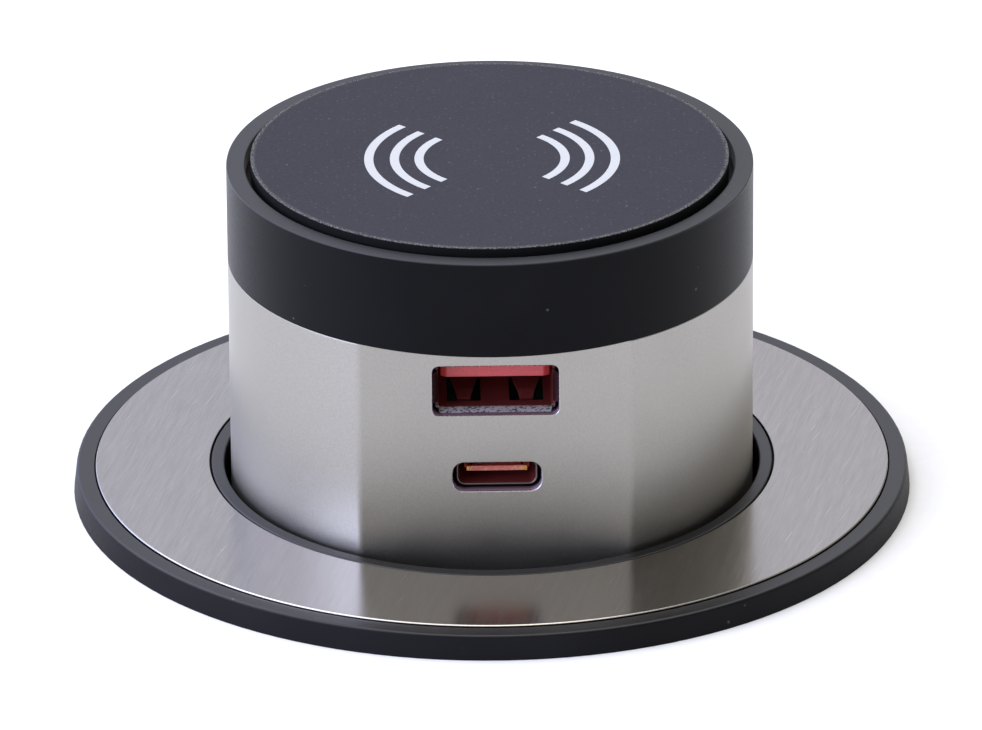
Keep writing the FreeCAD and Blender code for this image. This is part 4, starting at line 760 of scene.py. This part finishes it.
def makeUsbC():
    # the sheet's section with half a round for its rim, the tongue, and flat contacts on both its faces
    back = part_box("usb_c_shell")[1].y / mm
    x, half, front = usbC["centre"][0], usbC["sheet"] / 2, usbC["front"]
    angle, straight = np.linspace(0, math.pi, usbC["rimSteps"]), front + usbC["rimBack"]
    rim = [(-half + half * math.cos(a), front + half - half * math.sin(a)) for a in angle]
    rows = [(0, back), (0, straight)] + rim + [(-usbC["sheet"], straight), (-usbC["sheet"], back)]
    makeShell("usbCShell", usbC, rows, "usb_c_shell")

    tongue, plate = usbC["tongue"], usbC["plate"]
    nose, low, high = tongue["front"], tongue["low"], tongue["high"]
    flank = [(u, nose + behind, r) for u, behind, r in tongue["side"]]
    flank.append((flank[-1][0], back - block["tongueIn"], tongue["backCorner"]))
    corners = [(x + u, y, r) for u, y, r in flank] + [(x - u, y, r) for u, y, r in flank[::-1]]
    # the coral base is lifted above the moulding's own tone: painted light on the tongue's top face, which
    # the window's top edge shades
    coralWithPaintedLight = mouldedTongueFinish("coralMouldingPaintedLight", (250, 112, 92), (214, 116, 104), nose, (226, 158, 118))
    makeTongue("usbCTongue", usbC, corners, back, "usb_c_tongue", coralWithPaintedLight)
    pads = []
    for number, aside in enumerate(usbC["contacts"]):
        start, end = nose + usbC["outerFrom" if number in (0, 11) else "innerFrom"], back - block["depth"]
        left, right = x + aside - usbC["contactHalf"], x + aside + usbC["contactHalf"]
        outline = np.array([(left, start), (right, start), (right, end), (left, end)])
        for foot, top in ((high, high + usbC["proud"]), (low - usbC["proud"], low)):
            pads.append(prism(outline, foot, top))
    for side in (-1, 1):                     # the ends of the plate inside the tongue show at its corners
        near = x + side * (tongue["side"][0][0] - plate["in"])
        far = x + side * (tongue["side"][0][0] + plate["out"])
        tip, end, corner = nose - plate["proud"], nose + plate["length"], plate["corner"]
        corners = [(near, tip, corner), (far, tip, plate["noseCorner"]),
                   (far, end, corner), (near, end, corner)]
        pads.append(prism(roundCorners(corners), low + plate["above"], high - plate["below"]))
    makePiece("usbCContacts", joinMesh("usbCContacts", pads), "tower", "gold", ["usb_c_contacts"], sharp=30)


makeUsbA()
makeUsbC()
print("sockets")

# Steel ring: a flat ring with a fine bright chamfer
steelRing = {"inner": 31.4, "outerEdge": 0.1, "innerEdge": 0.05, "footCorner": 0.05, "corner": 0.02,
             "sides": 400}


def makeSteelRing():
    # the ring's section with its two upper edges cut, turned about the axis
    low, high = (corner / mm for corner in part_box("steel_trim_ring"))
    inner, outer, cut, small = steelRing["inner"], high.x, steelRing["outerEdge"], steelRing["innerEdge"]
    foot, corner = steelRing["footCorner"], steelRing["corner"]
    corners = [(inner, low.z, foot), (outer, low.z, foot),
               (outer, high.z - cut, corner), (outer - cut, high.z, corner),
               (inner + small, high.z, corner), (inner, high.z - small, corner)]
    section = holdFlats(roundCorners(corners, steps=3), hold=0.05) * mm
    ring = turn("steelRing", section, steelRing["sides"])
    makePiece("steelRing", ring, "housing", "brushed_trim", ["steel_trim_ring"], sharp=30)


makeSteelRing()
print("steel ring")

# Camera, floor and studio light
view = {"from": (0.0, -1.10828, 0.50550), "ahead": (-1.4e-05, 0.914184, -0.405299), "roll": 0.398,
        "around": -0.9, "lens": 400.9, "sensor": 36, "clip": (0.05, 60)}


def makeCamera():
    # looks ahead from its place, rolled, and carried a little round the tower's axis
    ahead = Vector(view["ahead"]).normalized()
    right = ahead.cross(Vector((0, 0, 1))).normalized()
    up = right.cross(ahead)
    roll = math.radians(view["roll"])
    side, top = right * math.cos(roll) - up * math.sin(roll), up * math.cos(roll) + right * math.sin(roll)
    lens = bpy.data.cameras.new("camera")
    lens.sensor_width, lens.lens = view["sensor"], view["lens"]
    lens.clip_start, lens.clip_end = view["clip"]
    camera = bpy.data.objects.new("camera", lens)
    bpy.context.scene.collection.objects.link(camera)
    around = Matrix.Rotation(math.radians(view["around"]), 4, "Z")
    facing = Matrix((side, top, -ahead)).transposed().to_4x4()
    camera.matrix_world = around @ Matrix.Translation(view["from"]) @ facing
    bpy.context.scene.camera = camera


floor = {"hole": 0.040, "reach": 12.0, "rings": 40, "sides": 96, "below": 0.00003,
         "base": (0.86, 0.86, 0.86, 1), "lighter": (0.88, 0.88, 0.88, 1)}


def makeFloor():
    # a flat ring (r cos a, r sin a, -below), its radii in even ratios from the hole to the far edge
    radius = np.geomspace(floor["hole"], floor["reach"], floor["rings"])[:, None]
    angle = np.linspace(0, 2 * math.pi, floor["sides"], endpoint=False)
    points = np.stack([radius * np.cos(angle), radius * np.sin(angle),
                       0 * radius * angle - floor["below"]], -1)
    mesh = bpy.data.meshes.new("floor")
    mesh.from_pydata(points.reshape(-1, 3).tolist(), [],
                     gridFaces(floor["rings"], floor["sides"], False, True)[:, ::-1].tolist())
    paper = Finish("paleFloor", Specular_IOR_Level=0.0)
    grain = paper.noise(2 * mm, 2)
    paper.use(Base_Color=paper.blendColor(paper.range(grain, 0, 1), floor["base"], floor["lighter"]),
              Roughness=paper.range(grain, 0.8, 0.9))
    mesh.materials.append(paper.material)
    sheet = bpy.data.objects.new("floor", mesh)
    bpy.context.scene.collection.objects.link(sheet)


sky = {"front": 0.45, "back": 0.70, "backFrom": (-0.6, 0.8), "left": 0.5, "leftFrom": (-0.1, -0.7),
       "right": -0.42, "rightFrom": (0.1, 0.7), "top": 0.3, "topFrom": (0.35, 0.9),
       "cool": (0.80, 0.88, 1.27, 1), "warm": (1.02, 1.0, 0.97, 1), "coolFrom": (-0.2, 0.6),
       "coolBehind": 0.2,
       "softboxes": (((-0.80, -0.50, 0.14), 8, 34, 4.3), ((-0.88, 0.42, 0.05), 8, 32, 1.2))}


def makeSky():
    # brightness by direction: front + (back - front) n + left w + right e + top h, each share a smooth step,
    # and each softbox adds its power where the angle from its middle is small
    world = bpy.data.worlds.new("studio")
    bpy.context.scene.world = world
    world.use_nodes = True
    air = Nodes(world.node_tree)
    towards = air.node("TexCoord", picked="Generated")
    east, north, high = air.split(towards)
    level = sky["front"] + (sky["back"] - sky["front"]) * air.step(north, *sky["backFrom"]) \
        + sky["left"] * air.step(east, *sky["leftFrom"]) + sky["right"] * air.step(east, *sky["rightFrom"]) \
        + sky["top"] * air.step(high, *sky["topFrom"])
    for middle, inner, outer, power in sky["softboxes"]:
        near = air.node("VectorMath", {"operation": "DOT_PRODUCT"},
                        {0: towards, 1: Vector(middle).normalized()}, "Value")
        level = level + power * air.step(near, math.cos(math.radians(outer)), math.cos(math.radians(inner)))
    cooler = air.step(north * sky["coolBehind"] - east, *sky["coolFrom"])
    tint = air.blendColor(cooler, sky["warm"], sky["cool"])
    background = world.node_tree.nodes["Background"]
    air.tree.links.new(tint.socket, background.inputs["Color"])
    air.tree.links.new(level.socket, background.inputs["Strength"])


lamp = {"towards": (-0.25, 0.1, 1.0), "distance": 2.0, "power": 2.2, "spread": 90,
        "color": (1.0, 0.98, 0.945)}


def makeLamp():
    # a broad sun in that direction from the tower, turned to face it
    light = bpy.data.lights.new("overhead", "SUN")
    light.energy, light.angle, light.color = lamp["power"], math.radians(lamp["spread"]), lamp["color"]
    sun = bpy.data.objects.new("overhead", light)
    bpy.context.scene.collection.objects.link(sun)
    away = Vector(lamp["towards"]).normalized()
    facing = away.to_track_quat("Z", "Y").to_matrix().to_4x4()
    sun.matrix_world = Matrix.Translation(away * lamp["distance"]) @ facing


makeCamera()
makeFloor()
makeSky()
makeLamp()
bpy.context.scene.view_settings.view_transform = "Standard"
print("camera, floor and light")
